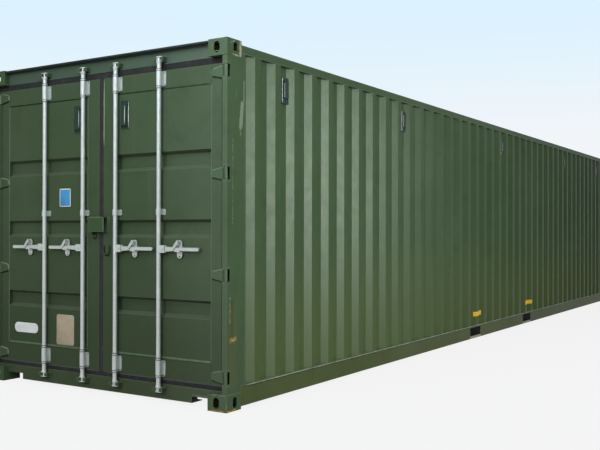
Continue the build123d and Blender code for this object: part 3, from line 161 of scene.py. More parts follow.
CASTING_MARKS = (
    ((1.219, -5.935, 2.485), (1.219, -5.930, 2.580), 0.012, 0.016, RUBBED, 0.8),
    ((1.219, -6.050, 2.560), (1.219, -6.010, 2.575), 0.004, 0.018, RUBBED, 0.7),
    ((1.219, -6.020, 2.484), (1.219, -5.960, 2.480), 0.006, 0.018, RUBBED, 0.7),
    ((1.219, -6.080, 0.006), (1.219, -5.990, 0.004), 0.006, 0.018, RUST_YELLOW, 0.9),
    ((1.190, -6.096, 0.004), (1.080, -6.096, 0.004), 0.005, 0.018, RUST_YELLOW, 0.9),
    ((1.219, -6.096, 0.010), (1.219, -6.096, 0.110), 0.001, 0.014, RUST_YELLOW, 0.8),
    ((1.090, -6.096, 0.116), (1.200, -6.096, 0.116), 0.001, 0.010, RUBBED, 0.6),
)
POCKET_MARKS = (
    ((1.206, -1.200, 0.028), (1.206, -0.860, 0.030), 0.020, 0.022, RUBBED, 0.75),
    ((1.206, 0.860, 0.028), (1.206, 1.200, 0.030), 0.020, 0.022, RUBBED, 0.75),
    ((1.206, -0.850, 0.050), (1.206, -0.850, 0.120), 0.008, 0.016, RUBBED, 0.8),
    ((-1.206, -1.200, 0.028), (-1.206, -0.860, 0.030), 0.018, 0.024, RUST, 0.7),
    ((-1.206, 0.860, 0.028), (-1.206, 1.200, 0.030), 0.018, 0.024, RUST, 0.7),
)


# Materials

# The Mix node's sockets for colours
MIX_FIRST = 6
MIX_SECOND = 7
MIX_RESULT = 2


class Nodes:
    """Adds nodes to one tree and feeds their inputs."""

    def __init__(self, tree):
        self.tree = tree

    def node(self, kind, inputs=None, **settings):
        """Adds a node with its settings and feeds the inputs named."""
        made = self.tree.nodes.new(kind)
        for key, value in settings.items():
            setattr(made, key, value)
        for key, value in (inputs or {}).items():
            self.feed(made.inputs[key], value)
        return made

    def feed(self, socket, value):
        """Links another node's output to a socket, or sets a plain value."""
        if isinstance(value, bpy.types.NodeSocket):
            self.tree.links.new(value, socket)
        elif isinstance(value, tuple) and len(value) == 3 and socket.type == "RGBA":
            socket.default_value = (*value, 1.0)
        else:
            socket.default_value = value

    def ramp(self, value, low, high, to_low=0.0, to_high=1.0):
        """Maps a range of values smoothly to another."""
        made = self.node("ShaderNodeMapRange", {
            "Value": value, "From Min": low, "From Max": high, "To Min": to_low,
            "To Max": to_high}, interpolation_type="SMOOTHSTEP")
        return made.outputs["Result"]

    def maths(self, operation, first, second):
        made = self.node("ShaderNodeMath", operation=operation)
        self.feed(made.inputs[0], first)
        self.feed(made.inputs[1], second)
        return made.outputs["Value"]

    def times(self, first, second):
        return self.maths("MULTIPLY", first, second)

    def mix(self, share, first, second):
        """Mixes two colours."""
        made = self.node("ShaderNodeMix", data_type="RGBA")
        self.feed(made.inputs["Factor"], share)
        self.feed(made.inputs[MIX_FIRST], first)
        self.feed(made.inputs[MIX_SECOND], second)
        return made.outputs[MIX_RESULT]

    def axis(self, name, vector):
        return self.node("ShaderNodeSeparateXYZ", {"Vector": vector}).outputs[name]

    def seen(self):
        """1 for rays of the camera, of reflections and through glass, 0 for the rest."""
        path = self.node("ShaderNodeLightPath").outputs
        direct = self.maths("MAXIMUM", path["Is Camera Ray"], path["Is Glossy Ray"])
        return self.maths("MAXIMUM", direct, path["Is Transmission Ray"])

    def choose(self, share, first, second):
        """Mixes the shaders of two nodes."""
        made = self.node("ShaderNodeMixShader", {"Fac": share})
        self.feed(made.inputs[1], first.outputs[0])
        self.feed(made.inputs[2], second.outputs[0])
        return made.outputs[0]


class Surface(Nodes):
    """Builds one Principled material from the object's own coordinates."""

    def __init__(self, name):
        self.material = bpy.data.materials.new(name)
        self.material.use_nodes = True
        super().__init__(self.material.node_tree)
        self.shader = self.tree.nodes["Principled BSDF"]
        self.coords = self.tree.nodes.new("ShaderNodeTexCoord").outputs["Object"]

    def stretched(self, scale):
        """Coordinates scaled by a different amount along each axis."""
        return self.node("ShaderNodeMapping",
                         {"Vector": self.coords, "Scale": scale}).outputs["Vector"]

    def noise(self, scale, detail, rough=0.55, coords=None):
        made = self.node("ShaderNodeTexNoise", {
            "Vector": coords or self.coords, "Scale": scale, "Detail": detail,
            "Roughness": rough})
        return made.outputs["Fac"]

    def cells(self, scale):
        made = self.node("ShaderNodeTexVoronoi", {"Vector": self.coords, "Scale": scale})
        return made.outputs["Color"]

    def place(self, name):
        """A point's place along one axis."""
        return self.axis(name, self.coords)

    def size_of(self, name, middle=0.0):
        """Distance along an axis from a middle plane."""
        away = self.maths("SUBTRACT", self.place(name), middle)
        return self.maths("ABSOLUTE", away, 0.0)

    def within(self, value, low, high):
        """1 where a value lies between two limits."""
        above = self.ramp(value, low - CAVITY_SOFT, low)
        return self.times(above, self.ramp(value, high + CAVITY_SOFT, high))

    def edges(self, radius):
        """1 on the rounded edges of a piece and 0 on its flats."""
        rounded = self.node("ShaderNodeBevel", {"Radius": radius}, samples=4)
        true = self.node("ShaderNodeNewGeometry").outputs["Normal"]
        dot = self.node("ShaderNodeVectorMath", operation="DOT_PRODUCT")
        self.feed(dot.inputs[0], rounded.outputs["Normal"])
        self.feed(dot.inputs[1], true)
        return self.ramp(dot.outputs["Value"], 0.99, 0.85)

    def vector(self, operation, first, second=None, scale=None):
        made = self.node("ShaderNodeVectorMath", operation=operation)
        self.feed(made.inputs[0], first)
        if second is not None:
            self.feed(made.inputs[1], second)
        if scale is not None:
            self.feed(made.inputs["Scale"], scale)
        single = operation in ("DOT_PRODUCT", "LENGTH")
        return made.outputs["Value" if single else "Vector"]

    def near_line(self, start, end, reach, ragged):
        """1 beside a line between two points, with a ragged edge, and 0 away from it."""
        along = Vector(end) - Vector(start)
        away = self.vector("SUBTRACT", self.coords, tuple(start))
        share = self.vector("DOT_PRODUCT", away, tuple(along / along.length_squared))
        share = self.node("ShaderNodeClamp", {"Value": share}).outputs["Result"]
        foot = self.vector("SCALE", tuple(along), scale=share)
        distance = self.vector("LENGTH", self.vector("SUBTRACT", away, foot))
        torn = self.times(self.noise(70.0, 6.0, 0.8), 4.0 * ragged)
        distance = self.maths("ADD", distance, self.maths("SUBTRACT", torn, 2.0 * ragged))
        return self.ramp(distance, reach, reach * 0.7)

    def marked(self, colour, marks):
        """Adds local marks: start, end, reach, raggedness, colour and share of each."""
        for start, end, reach, ragged, tint, share in marks:
            mask = self.near_line(start, end, reach, ragged)
            colour = self.mix(self.times(mask, share), colour, tint)
        return colour

    def gloss(self, turned=0.27):
        """Specular level: high where the surface faces the eye, low where it grazes."""
        facing = self.node("ShaderNodeLayerWeight", {"Blend": 0.5}).outputs["Facing"]
        return self.ramp(facing, turned - 0.12, turned, 0.56, 0.02)

    def bump(self, height, distance, strength, below=None):
        inputs = {"Height": height, "Distance": distance, "Strength": strength}
        if below is not None:
            inputs["Normal"] = below
        return self.node("ShaderNodeBump", inputs).outputs["Normal"]

    def set(self, **values):
        """Feeds the shader's inputs by name and returns the finished material."""
        for key, value in values.items():
            self.feed(self.shader.inputs[key.replace("_", " ")], value)
        return self.material


def paint(name, base=GREEN, wear=0.5, dirt=0.5, dents=1.0, marks=(), rim=0.0,
          rim_width=0.006, settled=0.2, turned=0.27, foot=None):
    """Semi-gloss container paint: faded, streaked, muddy low down, chipped at edges.

    rim is the share of painted highlight on the edges, in the pale dust colour, settled the
    share of dust on surfaces that face up, foot a tint for the lowest part, and turned sets
    how far round the gloss reaches.
    """
    s = Surface(name)
    patches = s.ramp(s.noise(0.9, 4.0), 0.35, 0.7)
    faded = tuple(b * f / g for b, f, g in zip(base, GREEN_FADED, GREEN))
    deep = tuple(b * d / g for b, d, g in zip(base, GREEN_DEEP, GREEN))
    colour = s.mix(patches, base, faded)
    clouds = s.ramp(s.noise(5.0, 5.0, 0.65), 0.45, 0.8)
    colour = s.mix(s.times(clouds, 0.6), colour, deep)
    runs = s.ramp(s.noise(1.0, 4.0, 0.6, s.stretched((16.0, 16.0, 0.7))), 0.55, 0.8)
    colour = s.mix(s.times(runs, 0.07 * dirt), colour, DUST_AND_HIGHLIGHT)
    if foot:
        colour = s.mix(s.ramp(s.place("Z"), *FOOT_FADE, 0.0, 0.8), colour, foot)
    low_down = s.ramp(s.place("Z"), SPLASH_HEIGHT, 0.0)
    splashes = s.ramp(s.noise(7.0, 6.0, 0.7), 0.35, 0.75)
    colour = s.mix(s.times(s.times(low_down, splashes), 0.55 * dirt), colour, MUD)
    specks = s.ramp(s.noise(160.0, 2.0), 0.70, 0.74)
    colour = s.mix(s.times(specks, 0.2 * dirt), colour, DUST_AND_HIGHLIGHT)
    upright = s.axis("Z", s.node("ShaderNodeNewGeometry").outputs["Normal"])
    upward = s.ramp(upright, 0.7, 0.95)
    colour = s.mix(s.times(upward, settled), colour, DUST_AND_HIGHLIGHT)
    outer = s.edges(rim_width)
    # rim: edges mixed toward the pale dust colour, a painted highlight
    if rim:
        colour = s.mix(s.times(outer, rim), colour, DUST_AND_HIGHLIGHT)
    chips = s.times(outer, s.ramp(s.noise(60.0, 5.0, 0.75), 0.56, 0.62))
    colour = s.mix(s.times(chips, wear), colour, s.mix(clouds, RUST, PRIMER))
    colour = s.marked(colour, marks)
    rough = s.ramp(s.noise(14.0, 4.0), 0.3, 0.75, 0.32, 0.42)
    peel = s.bump(s.noise(420.0, 2.0), 0.0004, 0.25)
    sheet = s.bump(s.noise(1.7, 2.0), 0.004 * dents, 0.5, peel)
    return s.set(Base_Color=colour, Roughness=rough, Normal=sheet, IOR=1.45,
                 Specular_IOR_Level=s.gloss(turned), Specular_Tint=GREEN_SHEEN)


def cast_paint(name):
    """Thick paint on a cast block, scraped to pale metal and rust on its edges."""
    s = Surface(name)
    grain = s.noise(26.0, 5.0, 0.7)
    colour = s.mix(s.ramp(grain, 0.4, 0.7), GREEN, GREEN_FADED)
    scrapes = s.noise(1.0, 5.0, 0.7, s.stretched((22.0, 22.0, 60.0)))
    outer = s.edges(0.009)
    bottom_edge = s.ramp(s.place("Z"), 0.020, 0.004)
    worn = s.maths("MAXIMUM", s.times(outer, 0.7), bottom_edge)
    flecks = s.ramp(s.noise(110.0, 5.0, 0.8), 0.46, 0.56)
    bare = s.times(s.times(worn, flecks), s.ramp(scrapes, 0.44, 0.54))
    rusty = s.mix(s.ramp(grain, 0.42, 0.55), RUST_YELLOW, RUST_DARK)
    pale = s.mix(s.ramp(scrapes, 0.5, 0.6), RUBBED, rusty)
    colour = s.mix(bare, colour, s.mix(bottom_edge, pale, rusty))
    colour = s.marked(colour, CASTING_MARKS)
    across = s.within(s.size_of("X"), *CAVITY_X)
    along = s.within(s.size_of("Y"), *CAVITY_Y)
    upright = s.within(s.size_of("Z", HALF_HEIGHT), *CAVITY_Z)
    cavity = s.times(s.times(across, along), upright)
    colour = s.mix(s.times(cavity, 0.9), colour, s.mix(grain, CAVITY, RUST_DARK))
    rough = s.ramp(bare, 0.0, 1.0, 0.42, 0.85)
    normal = s.bump(grain, 0.0015, 0.6)
    return s.set(Base_Color=colour, Roughness=rough, Normal=normal, IOR=1.45,
                 Specular_IOR_Level=s.gloss())


def galvanised(name, tone, dark, bloom_share, stains, bands=()):
    """Dip galvanised steel: spangle, white bloom, brown stains, dark bands at joints."""
    s = Surface(name)
    spangle = s.cells(70.0)
    grey = s.node("ShaderNodeRGBToBW", {"Color": spangle}).outputs["Val"]
    colour = s.mix(s.ramp(grey, 0.2, 0.9, 0.0, 0.18), tone, dark)
    bloom = s.ramp(s.noise(9.0, 5.0, 0.65), 0.5, 0.78)
    colour = s.mix(s.times(bloom, bloom_share), colour, ZINC_WHITE)
    spots = s.ramp(s.noise(48.0, 5.0, 0.75), 0.60, 0.70)
    colour = s.mix(s.times(spots, stains), colour, PRIMER)
    for height in bands:
        joint = s.ramp(s.size_of("Z", height), JOINT_REACH, JOINT_REACH / 2)
        colour = s.mix(s.times(joint, 0.85), colour, UNDERFRAME)
    rough = s.ramp(s.noise(24.0, 4.0), 0.3, 0.8, 0.48, 0.60)
    normal = s.bump(s.noise(150.0, 3.0), 0.0002, 0.05)
    return s.set(Base_Color=colour, Metallic=0.6, Roughness=rough, Normal=normal)


def rubber(name, base):
    """Ribbed sealing rubber, dusty in patches."""
    s = Surface(name)
    dusty = s.ramp(s.noise(9.0, 5.0, 0.7), 0.45, 0.85)
    colour = s.mix(s.times(dusty, 0.10), base, DUST_AND_HIGHLIGHT)
    rough = s.ramp(s.noise(30.0, 3.0), 0.3, 0.8, 0.62, 0.85)
    ribs = s.noise(1.0, 2.0, 0.5, s.stretched((240.0, 240.0, 30.0)))
    return s.set(Base_Color=colour, Roughness=rough, Normal=s.bump(ribs, 0.0006, 0.4),
                 Specular_IOR_Level=0.3)


def moulded_plastic(name, first, second):
    """Dull grained plastic in two tones."""
    s = Surface(name)
    colour = s.mix(s.ramp(s.noise(12.0, 4.0), 0.35, 0.75), first, second)
    grain = s.noise(600.0, 2.0)
    return s.set(Base_Color=colour, Roughness=0.55, Normal=s.bump(grain, 0.0003, 0.4),
                 Specular_IOR_Level=0.15)


def plywood(name):
    """Floor boards: grain along the container, scuffs and stains."""
    s = Surface(name)
    grain = s.noise(1.0, 6.0, 0.65, s.stretched((60.0, 2.2, 60.0)))
    colour = s.mix(s.ramp(grain, 0.35, 0.7), PLYWOOD, PLYWOOD_DARK)
    scuffs = s.ramp(s.noise(3.0, 6.0, 0.7), 0.52, 0.8)
    colour = s.mix(s.times(scuffs, 0.5), colour, MUD)
    return s.set(Base_Color=colour, Roughness=s.ramp(grain, 0.3, 0.7, 0.45, 0.7),
                 Normal=s.bump(grain, 0.001, 0.4))


def underseal(name):
    """Thick dark coating under the floor, dusty in patches."""
    s = Surface(name)
    dusty = s.ramp(s.noise(4.0, 5.0, 0.7), 0.4, 0.8)
    colour = s.mix(s.times(dusty, 0.4), UNDERFRAME, MUD)
    lumps = s.noise(45.0, 4.0, 0.6)
    return s.set(Base_Color=colour, Roughness=0.8, Normal=s.bump(lumps, 0.002, 0.5))


def film(name, colour):
    """Thin label film: slightly faded and wrinkled, with grime in patches."""
    s = Surface(name)
    faded = s.ramp(s.noise(20.0, 4.0), 0.35, 0.75)
    paler = tuple(min(1.0, c * 1.15 + 0.02) for c in colour)
    body = s.mix(s.times(faded, 0.6), colour, paler)
    grime = s.ramp(s.noise(55.0, 5.0, 0.7), 0.52, 0.8)
    body = s.mix(s.times(grime, 0.20), body, MUD)
    wrinkles = s.bump(s.noise(40.0, 3.0), 0.0004, 0.2)
    return s.set(Base_Color=body, Roughness=0.5, Normal=wrinkles,
                 Specular_IOR_Level=0.25)


# Paints; where a rim is set, it lightens the edges as a painted highlight
WALL_PAINT = paint("wall_paint", wear=0.35, dirt=0.5, foot=FOOT_GREEN)
# Door paint: its foot tint is a painted shade that darkens the lower door
DOOR_PAINT = paint("door_paint", base=DOOR_GREEN, wear=0.3, dirt=0.9, dents=0.6, rim=0.22,
                   rim_width=0.010, turned=0.25, foot=DOOR_FOOT_SHADE)
# Header paint: a lighter, bluer copy of the green, painted sky reflection
HEADER_REFLECTION_PAINT = paint("header_reflection_paint", base=HEADER_REFLECTION_GREEN, wear=0.3, dirt=0.3, dents=0.3,
                     rim=0.15)
# Bright green lines: painted highlights on the hinge blades and the lock box
HIGHLIGHT_PAINT = paint("highlight_paint", base=GREEN_HIGHLIGHT, wear=0.0, dirt=0.4, dents=0.0)
# Paler green for weld beads: a painted highlight
WELD_HIGHLIGHT_PAINT = paint("weld_highlight_paint", base=GREEN_WELD_HIGHLIGHT, wear=0.0, dirt=0.4, dents=0.0)
# Dark green lines: painted shadow under the panel's head, the hinge blades and the wall
# ledge, and dark seams across the door rails
SHADOW_AND_SEAM_PAINT = paint("shadow_and_seam_paint", base=GREEN_DARK, wear=0.0, dirt=0.2, dents=0.0)
FITTING_PAINT = paint("fitting_paint", wear=0.5, dirt=0.3, dents=0.0, rim=0.45,
                      rim_width=0.010)
# Tie ring and staple paint: darkened green, a painted shade
HOOK_SHADE_PAINT = paint("hook_shade_paint", base=HOOK_SHADE_GREEN, wear=0.3, dirt=0.3, dents=0.0, rim=0.03)
FRAME_PAINT = paint("frame_paint", wear=0.5, dirt=0.5, dents=0.4, marks=POST_MARKS,
                    rim=0.30, rim_width=0.012)
SILL_PAINT = paint("sill_paint", base=SILL_GREEN, wear=0.5, dirt=0.5, dents=0.4,
                   marks=POST_MARKS, rim=0.30, rim_width=0.012)
RAIL_PAINT = paint("rail_paint", base=RAIL_GREEN, wear=0.8, dirt=0.35, dents=0.4,
                   marks=POCKET_MARKS, rim=0.25, rim_width=0.010, settled=0.6)
# Pale paint for lit lines: highlights on the leaf edge and the walls' foot weld
LEDGE_HIGHLIGHT_PAINT = paint("ledge_highlight_paint", base=LEDGE_HIGHLIGHT, wear=0.0, dirt=1.0, dents=0.0)
CAST_PAINT = cast_paint("casting_paint")
GALVANISED = galvanised("galvanised_steel", ZINC, ZINC_DARK, 0.3, 0.15, SLEEVE_JOINTS)
DARK_ZINC = galvanised("dark_zinc", ZINC_DARK, UNDERFRAME, 0.1, 0.6)
DULL_ZINC = galvanised("dull_zinc", ZINC_DULL, ZINC_DARK, 0.2, 0.55)
BLACK_RUBBER = rubber("gasket_rubber", RUBBER)
# Paler rubber: a painted highlight
HIGHLIGHT_RUBBER = rubber("highlight_rubber", RUBBER_HIGHLIGHT)
VENT_PLASTIC = moulded_plastic("vent_plastic", VENT_GREEN, GREEN_DARK)
# Pale plastic for vent rims: painted highlights
HIGHLIGHT_PLASTIC = moulded_plastic("highlight_plastic", RIM_HIGHLIGHT, WHITE_FILM)
# Near-black stand-in for the shade in hollows and openings: painted shade
SHADE_PLASTIC = moulded_plastic("shade_plastic", UNDERFRAME, RUBBER)
FLOOR_WOOD = plywood("floor_plywood")
UNDERSEAL = underseal("underframe_coating")

NODE_MATERIALS = {
    CAST_PAINT: ("corner_castings",),
    FRAME_PAINT: ("door_corner_posts", "front_corner_posts", "front_cross_rails",
                  "top_side_rails"),
    SILL_PAINT: ("door_sill",),
    RAIL_PAINT: ("bottom_side_rails", "fork_pocket_frames"),
    FITTING_PAINT: ("hinge_pins", "cam_keepers", "right_hinge_blades",
                    "left_hinge_blades", "lock_box"),
    HOOK_SHADE_PAINT: ("lock_staple", "tie_ring"),
    WALL_PAINT: ("front_wall", "side_wall_right", "side_wall_left", "roof"),
    DOOR_PAINT: ("right_door_frame", "left_door_frame", "right_door_panel",
                 "left_door_panel"),
    HEADER_REFLECTION_PAINT: ("door_header",),
    GALVANISED: ("lock_rod_1", "lock_rod_2", "lock_rod_3", "lock_rod_4",
                 "right_rod_bearings", "left_rod_bearings"),
    DULL_ZINC: ("right_handle_retainers", "left_handle_retainers", "handle_1",
                "handle_2", "handle_3", "handle_4", "catch_1", "catch_2", "catch_3",
                "catch_4"),
    BLACK_RUBBER: ("right_door_gasket", "left_door_gasket"),
    VENT_PLASTIC: ("side_vents", "right_door_vent", "left_door_vent"),
    FLOOR_WOOD: ("floor",),
    UNDERSEAL: ("cross_members_door_end", "cross_members_middle",
                "cross_members_front_end", "fork_pockets", "fork_pocket_straps"),
}


def dress_nodes():
    """Gives each node of the frame its material."""
    for material, nodes in NODE_MATERIALS.items():
        for node in nodes:
            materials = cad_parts[node].data.materials
            materials.clear()
            materials.append(material)


# Pieces

SHARP_ANGLE = math.radians(40)
CIRCLE_POINTS = 24

# Where the middle point of a rounded edge lies, as a share of the edge's reach
ROUND_MIDDLE = 0.4

# Rivets: the washer's radius to the head's, its share of the height, and dome steps
WASHER_REACH = 1.35
WASHER_SHARE = 0.25
DOME_STEPS = 5

# Beads: ripples along them as size and rate, shares at their ends, facets and depth
RIPPLE = (0.14, 2.4)
SLOW_RIPPLE = (0.10, 0.73)
BEAD_END = 0.3
BEAD_END_GROWTH = 0.35
BEAD_FACETS = 6
BEAD_SUNK = 0.1


def upright_ring(x, ys, zs):
    """Four corners of a rectangle across the x axis."""
    return [(x, ys[0], zs[0]), (x, ys[1], zs[0]), (x, ys[1], zs[1]), (x, ys[0], zs[1])]


def rounded_outline(low, high, corner, steps=5):
    """Points round a rectangle with rounded corners, from two opposite corners."""
    points = []
    centres = ((high[0] - corner, high[1] - corner), (low[0] + corner, high[1] - corner),
               (low[0] + corner, low[1] + corner), (high[0] - corner, low[1] + corner))
    for quarter, (x, z) in enumerate(centres):
        for step in range(steps + 1):
            angle = math.pi / 2 * (quarter + step / steps)
            points.append((x + corner * math.cos(angle), z + corner * math.sin(angle)))
    return points


def ring_outline(centre, radius):
    """Points round a circle."""
    points = []
    for number in range(CIRCLE_POINTS):
        angle = 2 * math.pi * number / CIRCLE_POINTS
        points.append((centre[0] + radius * math.cos(angle),
                       centre[1] + radius * math.sin(angle)))
    return points


def shrunk(outline, amount):
    """An outline drawn in towards its middle."""
    middle_x = sum(point[0] for point in outline) / len(outline)
    middle_z = sum(point[1] for point in outline) / len(outline)
    points = []
    for x, z in outline:
        reach = math.hypot(x - middle_x, z - middle_z)
        share = max(0.0, 1.0 - amount / reach)
        points.append((middle_x + (x - middle_x) * share,
                       middle_z + (z - middle_z) * share))
    return points


class Piece:
    """Gathers the shapes of one mesh piece and puts it on a body."""

    def __init__(self, name, body, slot, material):
        self.name = name
        self.body = body
        self.slot = slot
        self.material = material
        self.shape = bmesh.new()

    def skin(self, rings):
        """Joins rings of equally many points into a closed form."""
        rows = [[self.shape.verts.new(point) for point in ring] for ring in rings]
        count = len(rows[0])
        for lower, upper in zip(rows, rows[1:]):
            for number in range(count):
                after = (number + 1) % count
                self.shape.faces.new((lower[number], lower[after], upper[after],
                                      upper[number]))
        self.shape.faces.new(rows[0][::-1])
        self.shape.faces.new(rows[-1])

    def stack(self, levels):
        """Outlines in x and z at growing distance in front of the door."""
        self.skin([[(x, y, z) for x, z in outline] for outline, y in levels])

    def plate(self, outline, back_y, thick, round_off):
        """Flat plate in front of the door with its front edge rounded off."""
        front_y = back_y - thick
        self.stack([(outline, back_y), (outline, front_y + round_off),
                    (shrunk(outline, round_off * ROUND_MIDDLE),
                     front_y + round_off * ROUND_MIDDLE),
                    (shrunk(outline, round_off), front_y)])

    def rivet(self, centre, back_y, radius, height):
        """Domed head on a thin washer."""
        washer = ring_outline(centre, radius * WASHER_REACH)
        levels = [(washer, back_y), (washer, back_y - height * WASHER_SHARE)]
        for step in range(DOME_STEPS):
            angle = math.pi / 2 * step / DOME_STEPS
            share = WASHER_SHARE + (1 - WASHER_SHARE) * math.sin(angle)
            levels.append((ring_outline(centre, radius * math.cos(angle)),
                           back_y - height * share))
        self.stack(levels)

    def bead(self, start, end, out, width, height, step=0.009, lean=0.0):
        """Low rippled strip on a surface that faces out, its crest leant to one side."""
        start = Vector(start)
        along = Vector(end) - start
        out = Vector(out)
        side = along.cross(out).normalized()
        count = max(2, round(along.length / step))
        rings = []
        for number in range(count + 1):
            place = start + along * (number / count)
            swell = (1.0 + RIPPLE[0] * math.sin(number * RIPPLE[1])
                     + SLOW_RIPPLE[0] * math.sin(number * SLOW_RIPPLE[1]))
            ends = min(1.0, BEAD_END + number * BEAD_END_GROWTH,
                       BEAD_END + (count - number) * BEAD_END_GROWTH)
            ring = []
            for turn in range(BEAD_FACETS + 1):
                angle = math.pi * turn / BEAD_FACETS
                across = math.cos(angle) + lean * math.sin(angle)
                offset = side * (width / 2 * swell * ends * across)
                rise = out * (height * swell * ends * math.sin(angle)
                              - height * BEAD_SUNK)
                ring.append(place + offset + rise)
            rings.append(ring)
        self.skin(rings)

    def finish(self):
        """Makes the mesh and its object, smooth between its sharp edges."""
        mesh = bpy.data.meshes.new(self.name)
        bmesh.ops.recalc_face_normals(self.shape, faces=self.shape.faces)
        self.shape.to_mesh(mesh)
        self.shape.free()
        mesh.materials.append(self.material)
        mesh.shade_smooth()
        mesh.set_sharp_from_angle(angle=SHARP_ANGLE)
        made = bpy.data.objects.new(self.name, mesh)
        bpy.context.scene.collection.objects.link(made)
        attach(made, self.body)


# The way the doors face, both sides with the sign of their x, and the leaves' front
FORWARD = (0.0, -1.0, 0.0)
SIDES = (("right", 1), ("left", -1))
LEAF_Y = corner_low("right_door_frame").y

# Painted highlight on the edge of the right leaf: how far in it runs, and its ends below
# the leaf's top
HIGHLIGHT_EDGE_INSET = 0.003
HIGHLIGHT_EDGE_DROPS = (0.520, 0.012)

# Rods' bearings: each plate's height with its rivets' rise above and below it, and how
# far the rods are from the container's middle and the rivets from their rod
BEARING_PLATE_THICK = 0.005
BEARING_PLATES = ((2.364, 0.045), (0.248, 0.045), (1.392, 0.0))
ROD_PLACES = (0.170, 0.596)
RIVET_OFFSET = 0.034

# Gaskets: their front, and the ends of their lips from the container's middle
GASKET_FRONT_Y = -6.038
GASKET_ENDS_X = (0.024, 1.170)
GASKET_RIB_SHARES = (0.25, 0.5, 0.75)
GASKET_LIP_DROP = 0.004
# Place of the thin dark seal at the hinge edge, partly a painted shade of the gap beside
# the post
HINGE_SEAL_X = 1.142

# Hinge blades: their edges at the tip and at the back, above and below the middle
HINGE_HEIGHTS = (0.235, 0.945, 1.655, 2.365)
HINGE_TIP_HALF = 0.022
HINGE_REACH = 0.097
HINGE_UPPER_EDGE = (0.023, 0.043)
HINGE_LOWER_EDGE = (-0.029, -0.049)

# Welds where the posts meet the castings: across the front, and back along the side
POST_WELD_X = (1.100, 1.213)
POST_WELD_DEPTH = 0.170

# Lines at the walls' foot, a weld pale as a painted highlight and a dark line painted as
# the ledge's shadow: in from the ledge's side, down from its top, width, height
WALL_FOOT_MARGIN = 0.055
WALL_FOOT_LINES = (("weld", LEDGE_HIGHLIGHT_PAINT, 0.0005, 0.003, 0.009, 0.0022),
                   ("gap", SHADOW_AND_SEAM_PAINT, 0.008, 0.010, 0.010, 0.0010))

# Dark sheets painted as the shade in the open ends of the sill's box beside its notches:
# place, depth behind the sill's front, top, and how far each of their rings is out and
# drawn in
SILL_NOTCH_X = 0.880
SILL_BOX_Y = (0.005, 0.068)
SILL_BOX_TOP = 0.072
SILL_END_RINGS = ((0.0, 0.0), (0.0008, 0.0), (0.0012, 0.001))

# Strip along the header, painted shade under its lip: its edges below the header's top,
# and its gap to the front
HEADER_STRIP_DROPS = (0.013, 0.001)
HEADER_STRIP_GAP = 0.0005

# Lock box: its back flange, and the rim that lies in its front, painted as a highlight
LOCK_FLANGE_REACH = 0.022
LOCK_FLANGE_BELOW = 0.004
LOCK_FLANGE_ABOVE = 0.002
LOCK_RIM_INSET = 0.003
LOCK_RIM_SHORT = 0.002
LOCK_RIM_SUNK = 0.0005

# Labels on the left door: two opposite corners, in x and z
BLUE_LABEL = ((-0.455, 1.445), (-0.334, 1.588))
BLUE_LABEL_BORDER = 0.006
WHITE_LABEL = ((-0.978, 0.413), (-0.700, 0.494))
DATA_PLATE = ((-0.485, 0.342), (-0.291, 0.584))
PLATE_RIVET_INSET = 0.014
FILM_THICK = 0.0006
DATA_PLATE_THICK = 0.0016

# Films on the side walls: their ends along the wall, height, steps and gap to the wall,
# and where the rays that find the wall start
WALL_FILMS = (("near", (-1.056, -0.780)), ("far", (0.940, 1.255)))
WALL_FILM_LOW = 0.265
WALL_FILM_TALL = 0.052
WALL_FILM_ROWS = 8
WALL_FILM_STEPS = 96
WALL_FILM_LIFT = 0.0008
RAY_START_X = 2.0

# Wall vents: strips with their ends along the wall, outer x and gap above and below; the
# pale rims are painted highlights and the dark slots painted shade
WALL_VENTS = (-5.282, -3.058, 0.0, 3.058, 5.282)
VENT_STRIPS = (("rims", (-0.049, -0.042), 1.1965, 0.006),
               ("slots", (-0.041, -0.031), 1.1930, 0.006),
               ("rims", (-0.0305, -0.0265), 1.2055, 0.045))
VENT_STRIP_BACK_X = 1.185
VENT_STRIP_EDGE = 0.0015

# Door vents' pale rims, painted highlights: each rim's distance from the vent's right side
# and from its two ends
DOOR_VENT_RIMS = {"right": ((0.0035, 0.006), (0.030, 0.040)),
                  "left": ((0.0035, 0.006), (0.016, 0.040))}
DOOR_VENT_RAY_RUN = 1.0


def make_door_beads(side, sign):
    """Edges round the panel: pale along its sides and foot as a painted highlight, dark
    under its head as a painted shadow.
    """
    low = corner_low("right_door_panel")
    high = corner_high("right_door_panel")
    leaf_low = corner_low("right_door_frame")
    leaf_high = corner_high("right_door_frame")
    body = side + "_door"
    pale = Piece(side + "_door_weld_beads", body, "green_paint", WELD_HIGHLIGHT_PAINT)
    dark = Piece(side + "_door_shadows_and_seams", body, "green_paint", SHADOW_AND_SEAM_PAINT)
    left, right = sorted((sign * low.x, sign * high.x))
    pale.bead((left, LEAF_Y, low.z), (right, LEAF_Y, low.z), FORWARD, width=0.014,
              height=0.006, step=0.012, lean=0.8)
    dark.bead((left, LEAF_Y, high.z), (right, LEAF_Y, high.z), FORWARD, width=0.010,
              height=0.003, step=0.012, lean=-0.8)
    for x in (left, right):
        pale.bead((x, LEAF_Y, low.z), (x, LEAF_Y, high.z), FORWARD, width=0.007,
                  height=0.003)
        for start, end in ((leaf_low.z, low.z), (high.z, leaf_high.z)):
            dark.bead((x, LEAF_Y, start), (x, LEAF_Y, end), FORWARD, width=0.004,
                      height=0.001)
    pale.finish()
    dark.finish()


